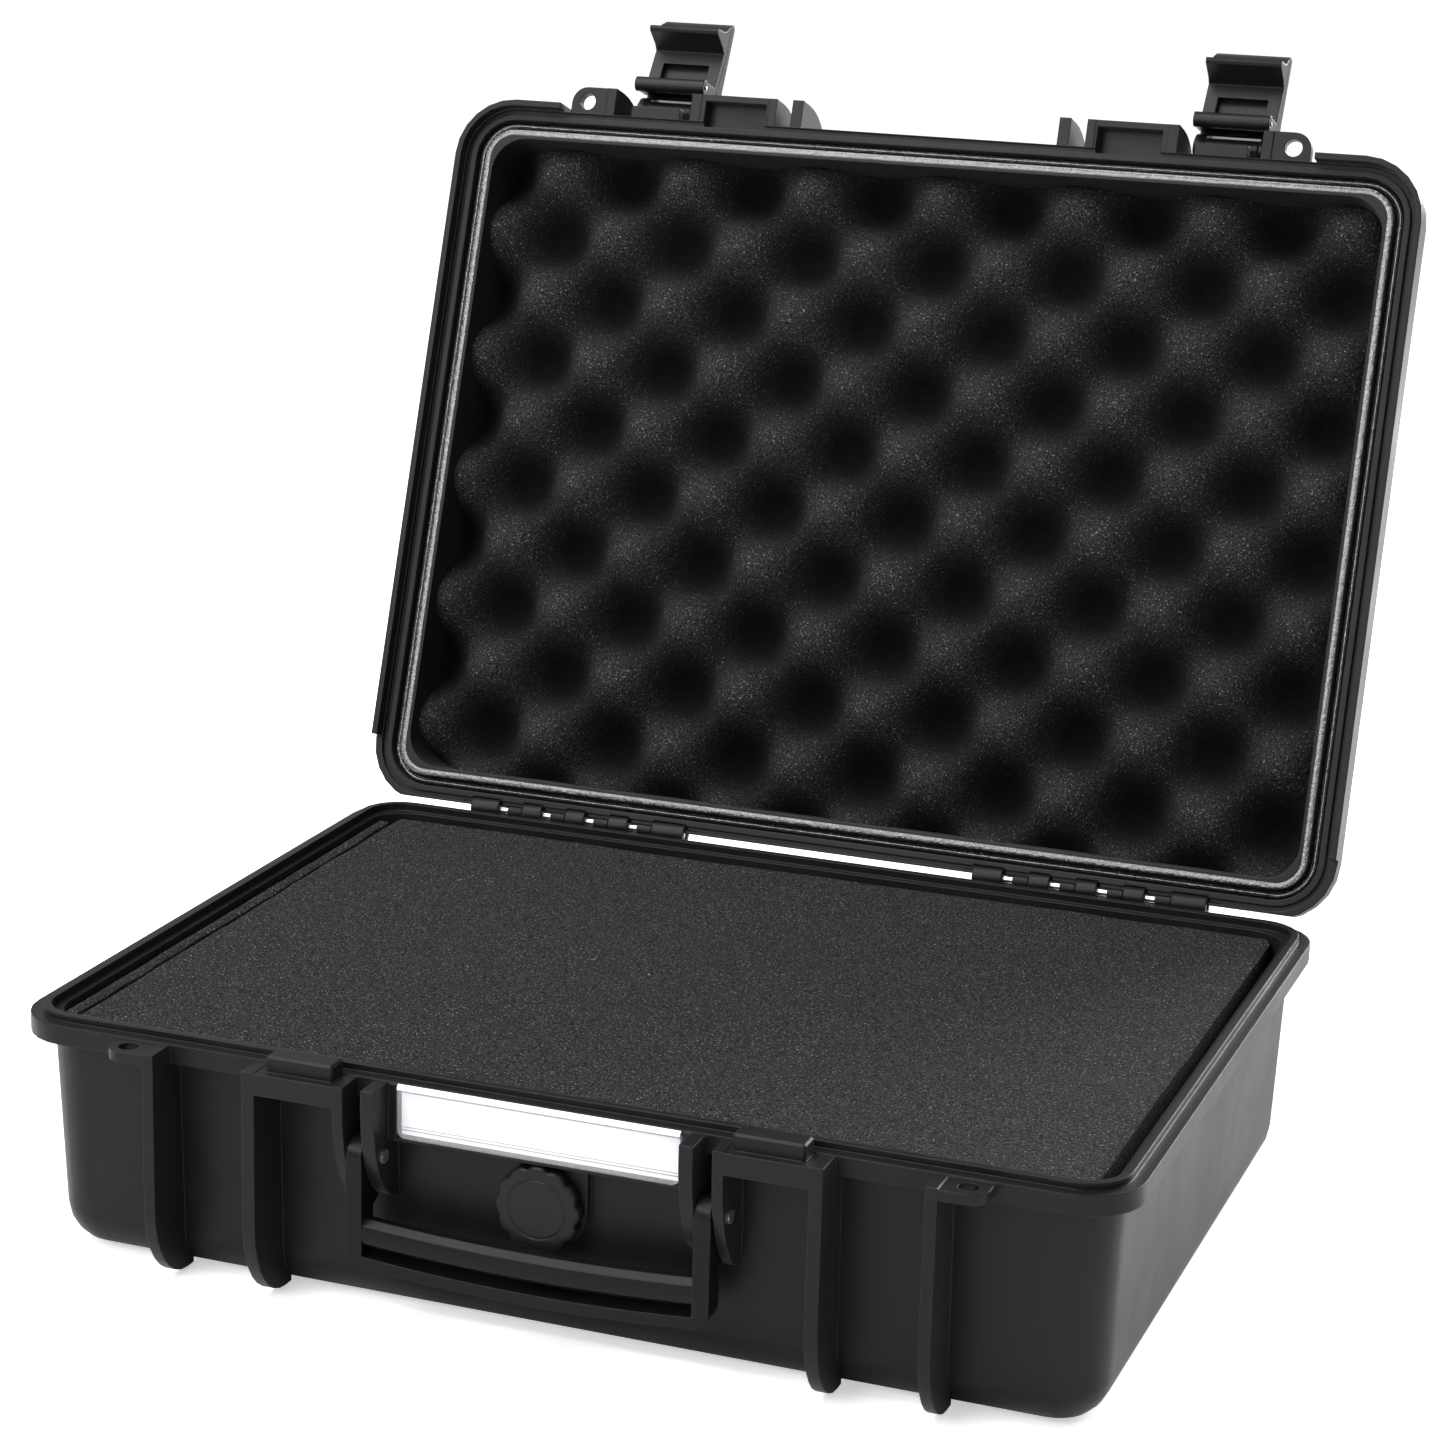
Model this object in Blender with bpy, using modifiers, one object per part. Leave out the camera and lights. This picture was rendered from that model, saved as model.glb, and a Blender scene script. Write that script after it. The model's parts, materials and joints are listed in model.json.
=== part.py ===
"""Hard equipment case with its lid open: base, hinged lid, two double-throw latches,
carrying handle, pressure valve, label window, gasket and foam inserts.

World frame: metres, +Z up, origin at the centre of the flat underside, front towards -Y.
The lid group is modelled closed and turned open by its parent empty on the hinge axis.
"""
import math

import bmesh
import bpy
from mathutils import Matrix, Vector

# Driving dimensions (metres).
CASE_WIDTH = 0.410  # over the rim flange of the base
CASE_DEPTH = 0.2977  # over the rim flange of the base
RIM_Z = 0.0895  # top of the rim flange above the flat underside
LID_HEIGHT = 0.042  # lid above the rim flange
LID_OPEN = math.radians(109.0)

GAP = 0.0003  # play between pieces that touch
SHY = 0.0002  # step between faces of joined shapes that would otherwise nearly coincide
WALL = 0.003
FLANGE_DROP = 0.0071
BODY_INSET = 0.0068  # from the flange edge to the body wall
CORNER_RADIUS = 0.021
BODY_CORNER = 0.0185
FOOT_RADIUS = 0.0150
BASE_DRAFT = 0.003
LID_DRAFT = 0.0025
TONGUE_INSET = 0.0046
TONGUE_WIDTH = 0.0028
TONGUE_RISE = 0.0025
BACK_CUT_X = 0.183  # the flange stops here behind, between the corners

# Lid rim, measured inwards from the edge of the base flange.
SKIRT_OUT = 0.0035
SKIRT_IN = 0.0010
SKIRT_DROP = 0.005
SKIRT_END_X = 0.163
SKIRT_END_Y = 0.126
LID_BAND = 0.009
LID_FRONT_Y = -0.1495
LID_BACK_Y = 0.1502
RECESS_IN = 0.0016
GROOVE_OUT = 0.0041
GROOVE_IN = 0.0083
GROOVE_DEPTH = 0.0060
LID_CAVITY_INSET = 0.0116
LID_ROOF = 0.003
LID_CORNER = 0.0175
LID_TOP_RADIUS = 0.0130

# Hinge.
HINGE_Y = 0.1508
HINGE_Z = RIM_Z + 0.0024
KNUCKLE_RADIUS = 0.0042
HINGE_PIN_RADIUS = 0.0016
HINGE_STARTS = (-0.1592, 0.0628)
LID_KNUCKLE = 0.0108
BASE_KNUCKLE = 0.0082
END_KNUCKLE = 0.0122
LAST_KNUCKLE = 0.0140
LID_KNUCKLES = 4
PIN_WINDOW = 0.0045

# Front of the case: everything is mirrored about X = 0.
FRONT_Y = -0.1611  # front plane of ribs, frames, lugs and ears
OUTER_RIB = (0.1402, 0.1444)
OUTER_LEG = (0.1010, 0.1057)
INNER_LEG = (0.0673, 0.0711)
EAR = (0.0555, 0.0604)
EAR_FOOT_Z = RIM_Z - 0.0445
BEAM_DROP = 0.0082
LUG_THICKNESS = 0.0044
LUG_END_X = 0.1602
PADLOCK_HOLE = (0.1530, -0.1548)
PADLOCK_RADIUS = 0.0036
TAB_X = (0.0728, 0.0982)
TAB_Y = (-0.1575, -0.1484)
TAB_RISE = 0.0055
TAB_CLEARANCE = 0.0009

# Latches: points in the lid's own plane, (Y, Z) from the lever pin with the lid closed.
LATCH_X = 0.12295
LATCH_HALF_WIDTH = 0.0158
LEVER_PIN_Y = -0.1575
LEVER_PIN_Z = RIM_Z + 0.0255
LEVER_PIN_RADIUS = 0.0015
CHEEK_IN = 0.0114
LEVER_WEB_GAP = 0.0056  # from the lever pin to the web between the cheeks
CLAW_PIN = (-0.0105, -0.0070)
CLAW_PIN_RADIUS = 0.0010
BARREL_RADIUS = 0.0032
LUG_HALF = 0.0040
LUG_RADIUS = 0.0022
HINGE_BLOCK_HALF = 0.0110
SHELF_Z = (0.0048, 0.0084)  # above the rim; the closed claw passes just over it

# Handle.
HANDLE_PIN_Y = -0.1525
HANDLE_PIN_Z = RIM_Z - 0.0262
HANDLE_PIN_RADIUS = 0.0025
ARM_X = (0.0608, 0.0668)
HANDLE_FRONT_Y = -0.1595
GRIP_BACK_Y = -0.1501
GRIP_TOP_Z = RIM_Z - 0.0480
GRIP_BOTTOM_Z = RIM_Z - 0.0588
RAIL_TOP_Z = RIM_Z - 0.0616
RAIL_BOTTOM_Z = RIM_Z - 0.0660
GRIP_BOW = 0.0026
GRIP_BAR = (0.00475, 0.0054)  # half depth and half height
GRIP_BAR_Y = -0.1549
GRIP_BAR_IN = 0.0028  # how far each end runs into its arm

# Pressure valve and label window.
VALVE_Z = RIM_Z - 0.0375
BOSS_RADIUS = 0.0165
BOSS_Y = -0.1442
KNOB_RADIUS = 0.0156
KNOB_FACE_Y = -0.1494
KNOB_BACK_Y = -0.1448
SCALLOPS = 12
LABEL_HALF = 0.0520
LABEL_TOP = RIM_Z - 0.0012
LABEL_BOTTOM = RIM_Z - 0.0198
PANEL_BOTTOM = RIM_Z - 0.0212
PANEL_Y = -0.1493

# Foam.
FOAM_TOP = RIM_Z - 0.0018
FOAM_SPLIT = RIM_Z - 0.0520
FOAM_HALF_X = 0.1885
LID_FOAM_RISE = 0.0060

HALF_X = CASE_WIDTH / 2
HALF_Y = CASE_DEPTH / 2
WALL_FRONT_Y = -(HALF_Y - BODY_INSET)
CORNER_SEGMENTS = 6


def clear_scene():
    for obj in list(bpy.data.objects):
        bpy.data.objects.remove(obj, do_unlink=True)


def new_collection(name):
    collection = bpy.data.collections.new(name)
    bpy.context.scene.collection.children.link(collection)
    return collection


def plastic(name, colour, roughness, metallic=0.0):
    material = bpy.data.materials.new(name)
    material.use_nodes = True
    shader = material.node_tree.nodes["Principled BSDF"]
    shader.inputs["Base Color"].default_value = (*colour, 1.0)
    shader.inputs["Roughness"].default_value = roughness
    shader.inputs["Metallic"].default_value = metallic
    return material


def object_from_bmesh(name, bm, collection, parent=None):
    """Links a finished bmesh; its coordinates are those of the closed case."""
    bmesh.ops.recalc_face_normals(bm, faces=bm.faces)
    mesh = bpy.data.meshes.new(name)
    bm.to_mesh(mesh)
    bm.free()
    obj = bpy.data.objects.new(name, mesh)
    collection.objects.link(obj)
    if parent:
        obj.parent = parent
        obj.location = -Vector(parent["closed_at"])
    return obj


def pivot(name, closed_at, collection, parent=None, turn=0.0):
    """An empty on a joint axis; closed_at is its place with the lid shut."""
    empty = bpy.data.objects.new(name, None)
    empty.empty_display_size = 0.01
    empty["closed_at"] = closed_at
    collection.objects.link(empty)
    place = Vector(closed_at)
    if parent:
        empty.parent = parent
        place -= Vector(parent["closed_at"])
    empty.location = place
    empty.rotation_euler.x = turn
    return empty


def box(name, low, high, collection, parent=None):
    bm = bmesh.new()
    bmesh.ops.create_cube(bm, size=1.0)
    low, high = Vector(low), Vector(high)
    bmesh.ops.scale(bm, vec=high - low, verts=bm.verts)
    bmesh.ops.translate(bm, vec=(low + high) / 2, verts=bm.verts)
    return object_from_bmesh(name, bm, collection, parent)


def span_box(name, x_range, y_range, z_range, collection, parent=None):
    """A box from three ranges, whichever way round each is given."""
    ranges = (sorted(x_range), sorted(y_range), sorted(z_range))
    low = [r[0] for r in ranges]
    high = [r[1] for r in ranges]
    return box(name, low, high, collection, parent)


def rounded_block(name, half_x, half_y, z_range, corner, collection, parent=None,
                  draft=0.0, edge=0.0, narrow_end="low"):
    """A block with round vertical corners, narrower by draft and rounded by edge at one end."""
    low, high = z_range
    bm = bmesh.new()
    bmesh.ops.create_cube(bm, size=2.0)
    for vert in bm.verts:
        at_low = vert.co.z < 0
        pull = draft if at_low == (narrow_end == "low") else 0.0
        vert.co.x *= half_x - pull
        vert.co.y *= half_y - pull
        vert.co.z = low if at_low else high
    upright = [e for e in bm.edges if abs(e.verts[0].co.z - e.verts[1].co.z) > (high - low) / 2]
    bmesh.ops.bevel(bm, geom=upright, offset=corner, segments=CORNER_SEGMENTS,
                    profile=0.5, affect="EDGES", clamp_overlap=True)
    if edge:
        end_z = low if narrow_end == "low" else high
        end = [e for e in bm.edges if all(abs(v.co.z - end_z) < 1e-6 for v in e.verts)]
        bmesh.ops.bevel(bm, geom=end, offset=edge, segments=5, profile=0.5,
                        affect="EDGES", clamp_overlap=True)
    return object_from_bmesh(name, bm, collection, parent)


def rim_block(name, inset, z_range, collection, parent=None, corner=None, **shape):
    """A rounded block whose sides lie the given distance inside the base flange edge."""
    corner = corner or CORNER_RADIUS - inset
    return rounded_block(name, HALF_X - inset, HALF_Y - inset, z_range, corner,
                         collection, parent, **shape)


def cylinder(name, centre, radius, length, axis, collection, parent=None, segments=24):
    bm = bmesh.new()
    bmesh.ops.create_cone(bm, cap_ends=True, segments=segments, radius1=radius,
                          radius2=radius, depth=length)
    turn = Matrix.Rotation(math.pi / 2, 4, "Y" if axis == "X" else "X")
    if axis != "Z":
        bmesh.ops.transform(bm, matrix=turn, verts=bm.verts)
    bmesh.ops.translate(bm, vec=centre, verts=bm.verts)
    return object_from_bmesh(name, bm, collection, parent)


def arc(centre, radius, start, end, steps):
    """Points of an arc in degrees; radius is one number or one for each direction."""
    wide, tall = radius if isinstance(radius, tuple) else (radius, radius)
    turns = [math.radians(start + (end - start) * i / steps) for i in range(steps + 1)]
    return [(centre[0] + wide * math.cos(t), centre[1] + tall * math.sin(t)) for t in turns]


AXES = {
    "X": Matrix(((0, 0, 1), (1, 0, 0), (0, 1, 0))).to_4x4(),  # outline in Y and Z
    "Y": Matrix(((1, 0, 0), (0, 0, -1), (0, 1, 0))).to_4x4(),  # outline in X and Z
    "Z": Matrix.Identity(4),  # outline in X and Y
}


def outline_solid(name, points, span, axis, collection, parent=None):
    """A flat closed outline given thickness along an axis, from span[0] to span[1]."""
    low, high = sorted(span)
    curve = bpy.data.curves.new(name, "CURVE")
    curve.dimensions = "2D"
    curve.fill_mode = "BOTH"
    curve.extrude = (high - low) / 2
    spline = curve.splines.new("POLY")
    spline.points.add(len(points) - 1)
    for point, (across, up) in zip(spline.points, points):
        point.co = (across, up, 0.0, 1.0)
    spline.use_cyclic_u = True
    guide = bpy.data.objects.new(name + "_outline", curve)
    bpy.context.scene.collection.objects.link(guide)
    depsgraph = bpy.context.evaluated_depsgraph_get()
    flat = bpy.data.meshes.new_from_object(guide.evaluated_get(depsgraph))
    bm = bmesh.new()
    bm.from_mesh(flat)
    bpy.data.objects.remove(guide, do_unlink=True)
    bmesh.ops.remove_doubles(bm, verts=bm.verts, dist=1e-6)
    middle = (low + high) / 2
    shift = {"X": (middle, 0, 0), "Y": (0, middle, 0), "Z": (0, 0, middle)}[axis]
    bmesh.ops.transform(bm, matrix=Matrix.Translation(shift) @ AXES[axis], verts=bm.verts)
    return object_from_bmesh(name, bm, collection, parent)


def boolean(target, operation, collection=None, tool=None, solver="EXACT"):
    modifier = target.modifiers.new(operation.title(), "BOOLEAN")
    modifier.operation = operation
    modifier.solver = solver
    if collection:
        modifier.operand_type = "COLLECTION"
        modifier.collection = collection
    else:
        modifier.object = tool
    return modifier


def soften(obj, width, segments=1, angle=50.0):
    modifier = obj.modifiers.new("Bevel", "BEVEL")
    modifier.width = width
    modifier.segments = segments
    modifier.limit_method = "ANGLE"
    modifier.angle_limit = math.radians(angle)
    modifier.harden_normals = False


def finish(obj, material):
    obj.data.materials.clear()
    obj.data.materials.append(material)
    obj.data.shade_smooth()
    obj.data.set_sharp_from_angle(angle=math.radians(35))
    return obj


def tool_collection(name):
    collection = bpy.data.collections.new(name)
    TOOLS.children.link(collection)
    return collection


def both_sides(x_range):
    """An X range and its mirror image."""
    near, far = x_range
    return ((near, far), (-far, -near))


def knuckle_spans(start):
    """X ranges of one hinge group: base knuckles at both ends and between the lid's."""
    base = [(start, start + END_KNUCKLE)]
    lid = []
    x = start + END_KNUCKLE + GAP
    for index in range(LID_KNUCKLES):
        lid.append((x, x + LID_KNUCKLE))
        x += LID_KNUCKLE + GAP
        width = LAST_KNUCKLE if index == LID_KNUCKLES - 1 else BASE_KNUCKLE
        base.append((x, x + width))
        x += width + GAP
    return base, lid


def rib_outline(top, bottom_sweep, foot_y, foot_z):
    """(Y, Z) side outline of a rib that stands at FRONT_Y and sweeps back into the wall."""
    front = [(FRONT_Y, top)]
    sweep = arc((foot_y, bottom_sweep), (foot_y - FRONT_Y, bottom_sweep - foot_z), 180, 270, 8)
    inside = -0.1335
    return front + sweep + [(inside, foot_z), (inside, top)]


def base_rib(name, x_range, collection):
    outline = rib_outline(RIM_Z - SHY, RIM_Z - 0.058, -0.1380, 0.0012)
    return outline_solid(name, outline, x_range, "X", collection)


def base_short_rib(name, x_range, collection, foot_z=RIM_Z - 0.048):
    outline = rib_outline(RIM_Z - SHY, RIM_Z - 0.008, -0.1400, foot_z)
    return outline_solid(name, outline, x_range, "X", collection)


def lid_rib(name, x_range, collection, parent):
    outline = [(y, 2 * RIM_Z - z) for y, z in
               rib_outline(RIM_Z - GAP - SHY, RIM_Z - 0.009, -0.1405, RIM_Z - 0.0375)]
    return outline_solid(name, outline, x_range, "X", collection, parent)


def padlock_lug(name, side, z_range, collection, parent=None):
    """A flat lug with a round outer end, seen from above."""
    radius = 0.0068
    end_x = LUG_END_X - radius
    points = [(OUTER_RIB[0] + 0.001, -0.1450), (OUTER_RIB[0] + 0.001, FRONT_Y)]
    points += arc((end_x, FRONT_Y + radius), radius, -90, 0, 6)
    points += [(LUG_END_X, -0.1450)]
    points = [(x * side, y) for x, y in points]
    return outline_solid(name, points, z_range, "Z", collection, parent)


def build_base(parts, material):
    adds = tool_collection("base_adds")
    cuts = tool_collection("base_cuts")
    base = rim_block("base_shell", BODY_INSET, (0.0, RIM_Z - 0.001), parts,
                     corner=BODY_CORNER, draft=BASE_DRAFT, edge=FOOT_RADIUS)

    flange = rim_block("rim_flange", 0.0, (RIM_Z - FLANGE_DROP, RIM_Z), adds)
    back_cut = span_box("back_flange_cut", (-BACK_CUT_X, BACK_CUT_X),
                        (HALF_Y - TONGUE_INSET + 0.0004, 0.17),
                        (RIM_Z - 0.02, RIM_Z + 0.02), TOOLS)
    boolean(flange, "DIFFERENCE", tool=back_cut)
    rim_block("tongue_block", TONGUE_INSET, (RIM_Z - 0.0025, RIM_Z + TONGUE_RISE), adds)
    mouth = TONGUE_INSET + TONGUE_WIDTH
    rim_block("mouth_cut", mouth, (RIM_Z - 0.0006, RIM_Z + 0.01), cuts)
    rim_block("cavity_cut", BODY_INSET + WALL, (WALL, RIM_Z + 0.005), cuts,
              corner=BODY_CORNER - WALL, draft=BASE_DRAFT, edge=FOOT_RADIUS - WALL)

    for x_range in both_sides(OUTER_RIB) + both_sides(OUTER_LEG):
        base_rib("full_rib", x_range, adds)
    for x_range in both_sides(INNER_LEG):
        base_short_rib("short_rib", x_range, adds)
    for x_range in both_sides(EAR):
        base_short_rib("ear", x_range, adds, EAR_FOOT_Z)
    for x_range in both_sides((INNER_LEG[0] + 0.001, OUTER_LEG[1] - 0.001)):
        span_box("beam", x_range, (FRONT_Y, WALL_FRONT_Y + 0.001),
                 (RIM_Z - BEAM_DROP, RIM_Z - 2 * SHY), adds)
    for x_range in both_sides(TAB_X):
        tab = span_box("tab", x_range, TAB_Y, (RIM_Z - 0.0015, RIM_Z + TAB_RISE), adds)
        soften(tab, 0.0008)
    for side in (-1, 1):
        padlock_lug("lug", side, (RIM_Z - LUG_THICKNESS, RIM_Z - 3 * SHY), adds)
        cylinder("padlock_hole", (side * PADLOCK_HOLE[0], PADLOCK_HOLE[1], RIM_Z),
                 PADLOCK_RADIUS, 0.03, "Z", cuts)
        middle = side * (EAR[0] + INNER_LEG[1]) / 2
        cylinder("handle_pin_hole", (middle, HANDLE_PIN_Y, HANDLE_PIN_Z),
                 HANDLE_PIN_RADIUS + GAP, 0.03, "X", cuts)

    span_box("label_panel", (-EAR[0] - 0.001, EAR[0] + 0.001), (PANEL_Y, WALL_FRONT_Y + 0.002),
             (PANEL_BOTTOM, RIM_Z - 3 * SHY), adds)
    span_box("label_recess", (-LABEL_HALF - GAP, LABEL_HALF + GAP), (-0.17, -0.1473),
             (LABEL_BOTTOM - GAP, LABEL_TOP + GAP), cuts)

    boss = arc((0, VALVE_Z), BOSS_RADIUS, 180, 360, 16) + [(BOSS_RADIUS, PANEL_BOTTOM + 0.001)]
    boss += [(-BOSS_RADIUS, PANEL_BOTTOM + 0.001)]
    outline_solid("valve_boss", boss, (BOSS_Y, WALL_FRONT_Y + 0.0028), "Y", adds)
    cylinder("valve_hole", (0, WALL_FRONT_Y, VALVE_Z), 0.0060, 0.03, "Y", cuts)

    for start in HINGE_STARTS:
        base_spans, _ = knuckle_spans(start)
        for low, high in base_spans:
            middle = (low + high) / 2
            cylinder("knuckle", (middle, HINGE_Y, HINGE_Z), KNUCKLE_RADIUS, high - low, "X", adds)
            span_box("knuckle_web", (low, high), (WALL_FRONT_Y * -1 - 0.001, HINGE_Y + 0.0020),
                     (RIM_Z - FLANGE_DROP + SHY, RIM_Z - 2 * SHY), adds)
        length = base_spans[-1][1] - start + 0.01
        cylinder("hinge_pin_hole", (start + length / 2 - 0.005, HINGE_Y, HINGE_Z),
                 HINGE_PIN_RADIUS + GAP, length, "X", cuts, segments=16)

    boolean(base, "UNION", adds, solver="MANIFOLD")
    boolean(base, "DIFFERENCE", cuts, solver="MANIFOLD")
    finish(base, material)
    return base


def build_lid(parts, hinge, material):
    adds = tool_collection("lid_adds")
    cuts = tool_collection("lid_cuts")
    low = RIM_Z + GAP
    top = RIM_Z + LID_HEIGHT
    lid = rim_block("lid_shell", BODY_INSET, (low + 0.004, top), parts, hinge,
                    corner=LID_CORNER, draft=LID_DRAFT, edge=LID_TOP_RADIUS,
                    narrow_end="high")

    # Rim band with its skirt, cut back at the front and behind.
    band = rounded_block("rim_band", HALF_X + SKIRT_OUT, HALF_Y + SKIRT_OUT,
                         (RIM_Z - SKIRT_DROP, RIM_Z + LID_BAND), 0.025, adds, hinge)
    trims = tool_collection("band_trims")
    rounded_block("skirt_hollow", HALF_X + SKIRT_IN, HALF_Y + SKIRT_IN,
                  (RIM_Z - 0.02, low), 0.022, trims, hinge)
    span_box("front_trim", (-SKIRT_END_X, SKIRT_END_X), (-0.17, LID_FRONT_Y),
             (RIM_Z - 0.02, RIM_Z + 0.02), trims, hinge)
    span_box("front_skirt_trim", (-SKIRT_END_X, SKIRT_END_X), (-0.17, -0.13),
             (RIM_Z - 0.02, low), trims, hinge)
    span_box("back_trim", (-0.22, 0.22), (LID_BACK_Y, 0.17),
             (RIM_Z - 0.02, RIM_Z + 0.02), trims, hinge)
    span_box("back_skirt_trim", (-0.22, 0.22), (SKIRT_END_Y, 0.17),
             (RIM_Z - 0.02, low), trims, hinge)
    boolean(band, "DIFFERENCE", trims)

    # Gasket groove and the recess outside it.
    recess = rim_block("recess_cut", -0.0004, (RIM_Z - 0.01, low + 0.0018), cuts, hinge)
    ridge = rim_block("recess_keep", RECESS_IN, (RIM_Z - 0.02, low + 0.01), TOOLS, hinge)
    boolean(recess, "DIFFERENCE", tool=ridge)
    groove = rim_block("groove_cut", GROOVE_OUT, (RIM_Z - 0.01, low + GROOVE_DEPTH), cuts, hinge)
    island = rim_block("groove_island", GROOVE_IN, (RIM_Z - 0.02, low + 0.02), TOOLS, hinge)
    boolean(groove, "DIFFERENCE", tool=island)
    rim_block("lid_cavity", LID_CAVITY_INSET, (RIM_Z - 0.01, top - LID_ROOF), cuts, hinge,
              corner=LID_CORNER - LID_ROOF, draft=LID_DRAFT,
              edge=LID_TOP_RADIUS - LID_ROOF, narrow_end="high")

    # Front furniture.
    for x_range in both_sides(OUTER_RIB) + both_sides(EAR):
        lid_rib("lid_rib", x_range, adds, hinge)
    block_x = (INNER_LEG[0], OUTER_LEG[1])
    for x_range in both_sides((block_x[0], block_x[0] + 0.0035)):
        lid_rib("lid_block_rib", x_range, adds, hinge)
    for x_range in both_sides((block_x[1] - 0.0045, block_x[1])):
        lid_rib("lid_block_rib", x_range, adds, hinge)
    for x_range in both_sides((block_x[0] + 0.001, block_x[1] - 0.001)):
        span_box("tab_block", x_range, (FRONT_Y, WALL_FRONT_Y + 0.002),
                 (low + 2 * SHY, RIM_Z + 0.0105), adds, hinge)
    for x_range in both_sides((TAB_X[0] - TAB_CLEARANCE, TAB_X[1] + TAB_CLEARANCE)):
        span_box("tab_pocket", x_range, (TAB_Y[0] - TAB_CLEARANCE, TAB_Y[1] + TAB_CLEARANCE),
                 (RIM_Z - 0.01, RIM_Z + TAB_RISE + 0.002), cuts, hinge)
    for side in (-1, 1):
        padlock_lug("lid_lug", side, (low + 3 * SHY, low + 0.005), adds, hinge)
        cylinder("lid_padlock_hole", (side * PADLOCK_HOLE[0], PADLOCK_HOLE[1], RIM_Z),
                 PADLOCK_RADIUS, 0.03, "Z", cuts, hinge)
        latch_bay(side, adds, cuts, hinge)

    for start in HINGE_STARTS:
        base_spans, lid_spans = knuckle_spans(start)
        for near, far in base_spans:
            middle = (near + far) / 2
            cylinder("base_knuckle_space", (middle, HINGE_Y, HINGE_Z), KNUCKLE_RADIUS + 0.0005,
                     far - near + 2 * GAP, "X", cuts, hinge)
        for near, far in lid_spans:
            lid_knuckle(near, far, adds, cuts, hinge)
        length = base_spans[-1][1] - start + 0.01
        cylinder("lid_hinge_pin_hole", (start + length / 2 - 0.005, HINGE_Y, HINGE_Z),
                 HINGE_PIN_RADIUS + GAP, length, "X", cuts, hinge, segments=16)

    boolean(lid, "UNION", adds, solver="MANIFOLD")
    boolean(lid, "DIFFERENCE", cuts, solver="MANIFOLD")
    finish(lid, material)
    return lid


def latch_bay(side, adds, cuts, hinge):
    """The lid's shelf and hinge block between an outer rib and the tab block."""
    centre = side * LATCH_X
    reach = (centre - HINGE_BLOCK_HALF, centre + HINGE_BLOCK_HALF)
    span_box("bay_shelf", reach, (-0.1552, WALL_FRONT_Y + 0.002),
             (RIM_Z + SHELF_Z[0], RIM_Z + SHELF_Z[1]), adds, hinge)
    y, z = LEVER_PIN_Y, LEVER_PIN_Z
    radius = 0.0045
    block = arc((y, z), radius, 110, 280, 10)
    block += [(WALL_FRONT_Y + 0.002, z + 0.0015), (WALL_FRONT_Y + 0.002, z + 0.0085)]
    outline_solid("hinge_block", block, reach, "X", adds, hinge)
    cylinder("lever_pin_hole", (centre, y, z), LEVER_PIN_RADIUS + GAP, 0.028, "X", cuts,
             hinge, segments=16)


def lid_knuckle(near, far, adds, cuts, hinge):
    """A lid knuckle, with a window at its left end that bares the hinge pin."""
    middle = (near + far) / 2
    cylinder("lid_knuckle", (middle, HINGE_Y, HINGE_Z), KNUCKLE_RADIUS, far - near, "X",
             adds, hinge)
    span_box("lid_knuckle_web", (near, far), (LID_BACK_Y - 0.004, HINGE_Y),
             (RIM_Z + GAP + SHY, HINGE_Z + KNUCKLE_RADIUS - 0.0006), adds, hinge)
    # No parent: the window faces the front with the lid open, so it is placed as it lies then.
    span_box("pin_window", (near - 0.0001, near + PIN_WINDOW),
             (HINGE_Y - 0.008, HINGE_Y - 0.0002), (HINGE_Z - 0.008, HINGE_Z + 0.0022), cuts)


def build_gasket(parts, hinge, material):
    low = RIM_Z + TONGUE_RISE + GAP
    high = RIM_Z + GROOVE_DEPTH
    gasket = rim_block("lid_gasket", GROOVE_OUT + 0.0004, (low, high), parts, hinge)
    core = rim_block("gasket_core", GROOVE_IN - 0.0004, (low - 0.01, high + 0.01), TOOLS, hinge)
    boolean(gasket, "DIFFERENCE", tool=core)
    finish(gasket, material)


def build_hinge_pins(parts, material):
    for side, start in zip(("left", "right"), HINGE_STARTS):
        base_spans, _ = knuckle_spans(start)
        end = base_spans[-1][1]
        pin = cylinder(side + "_hinge_pin", ((start + end) / 2, HINGE_Y, HINGE_Z),
                       HINGE_PIN_RADIUS, end - start - 0.001, "X", parts, segments=16)
        finish(pin, material)


def around_pin(points):
    """Latch outline points, given from the lever pin, in closed case coordinates."""
    return [(LEVER_PIN_Y + y, LEVER_PIN_Z + z) for y, z in points]


LEVER_OUTLINE = (
    [(-0.0052, -0.0010)] + arc((0.0, 0.0), 0.0042, 215, 430, 12)
    + [(-0.0040, 0.0100), (-0.0103, 0.0128), (-0.0425, 0.0182), (-0.0443, 0.0168),
       (-0.0430, 0.0142), (-0.0287, 0.0126), (-0.0125, 0.0070), (-0.0072, 0.0062),
       (-0.0066, 0.0020)]
)
CLAW_OUTLINE = [
    (-0.0130, -0.0070), (-0.0132, 0.0036), (-0.0295, 0.0092), (-0.0318, 0.0066),
    (-0.0355, -0.0012), (-0.0368, -0.0020), (-0.0380, -0.0012), (-0.0384, 0.0060),
    (-0.0396, 0.0092), (-0.0422, 0.0122), (-0.0422, 0.0138), (-0.0288, 0.0122),
    (-0.0118, 0.0064), (-0.0082, 0.0040), (-0.0080, -0.0070),
]


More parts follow.
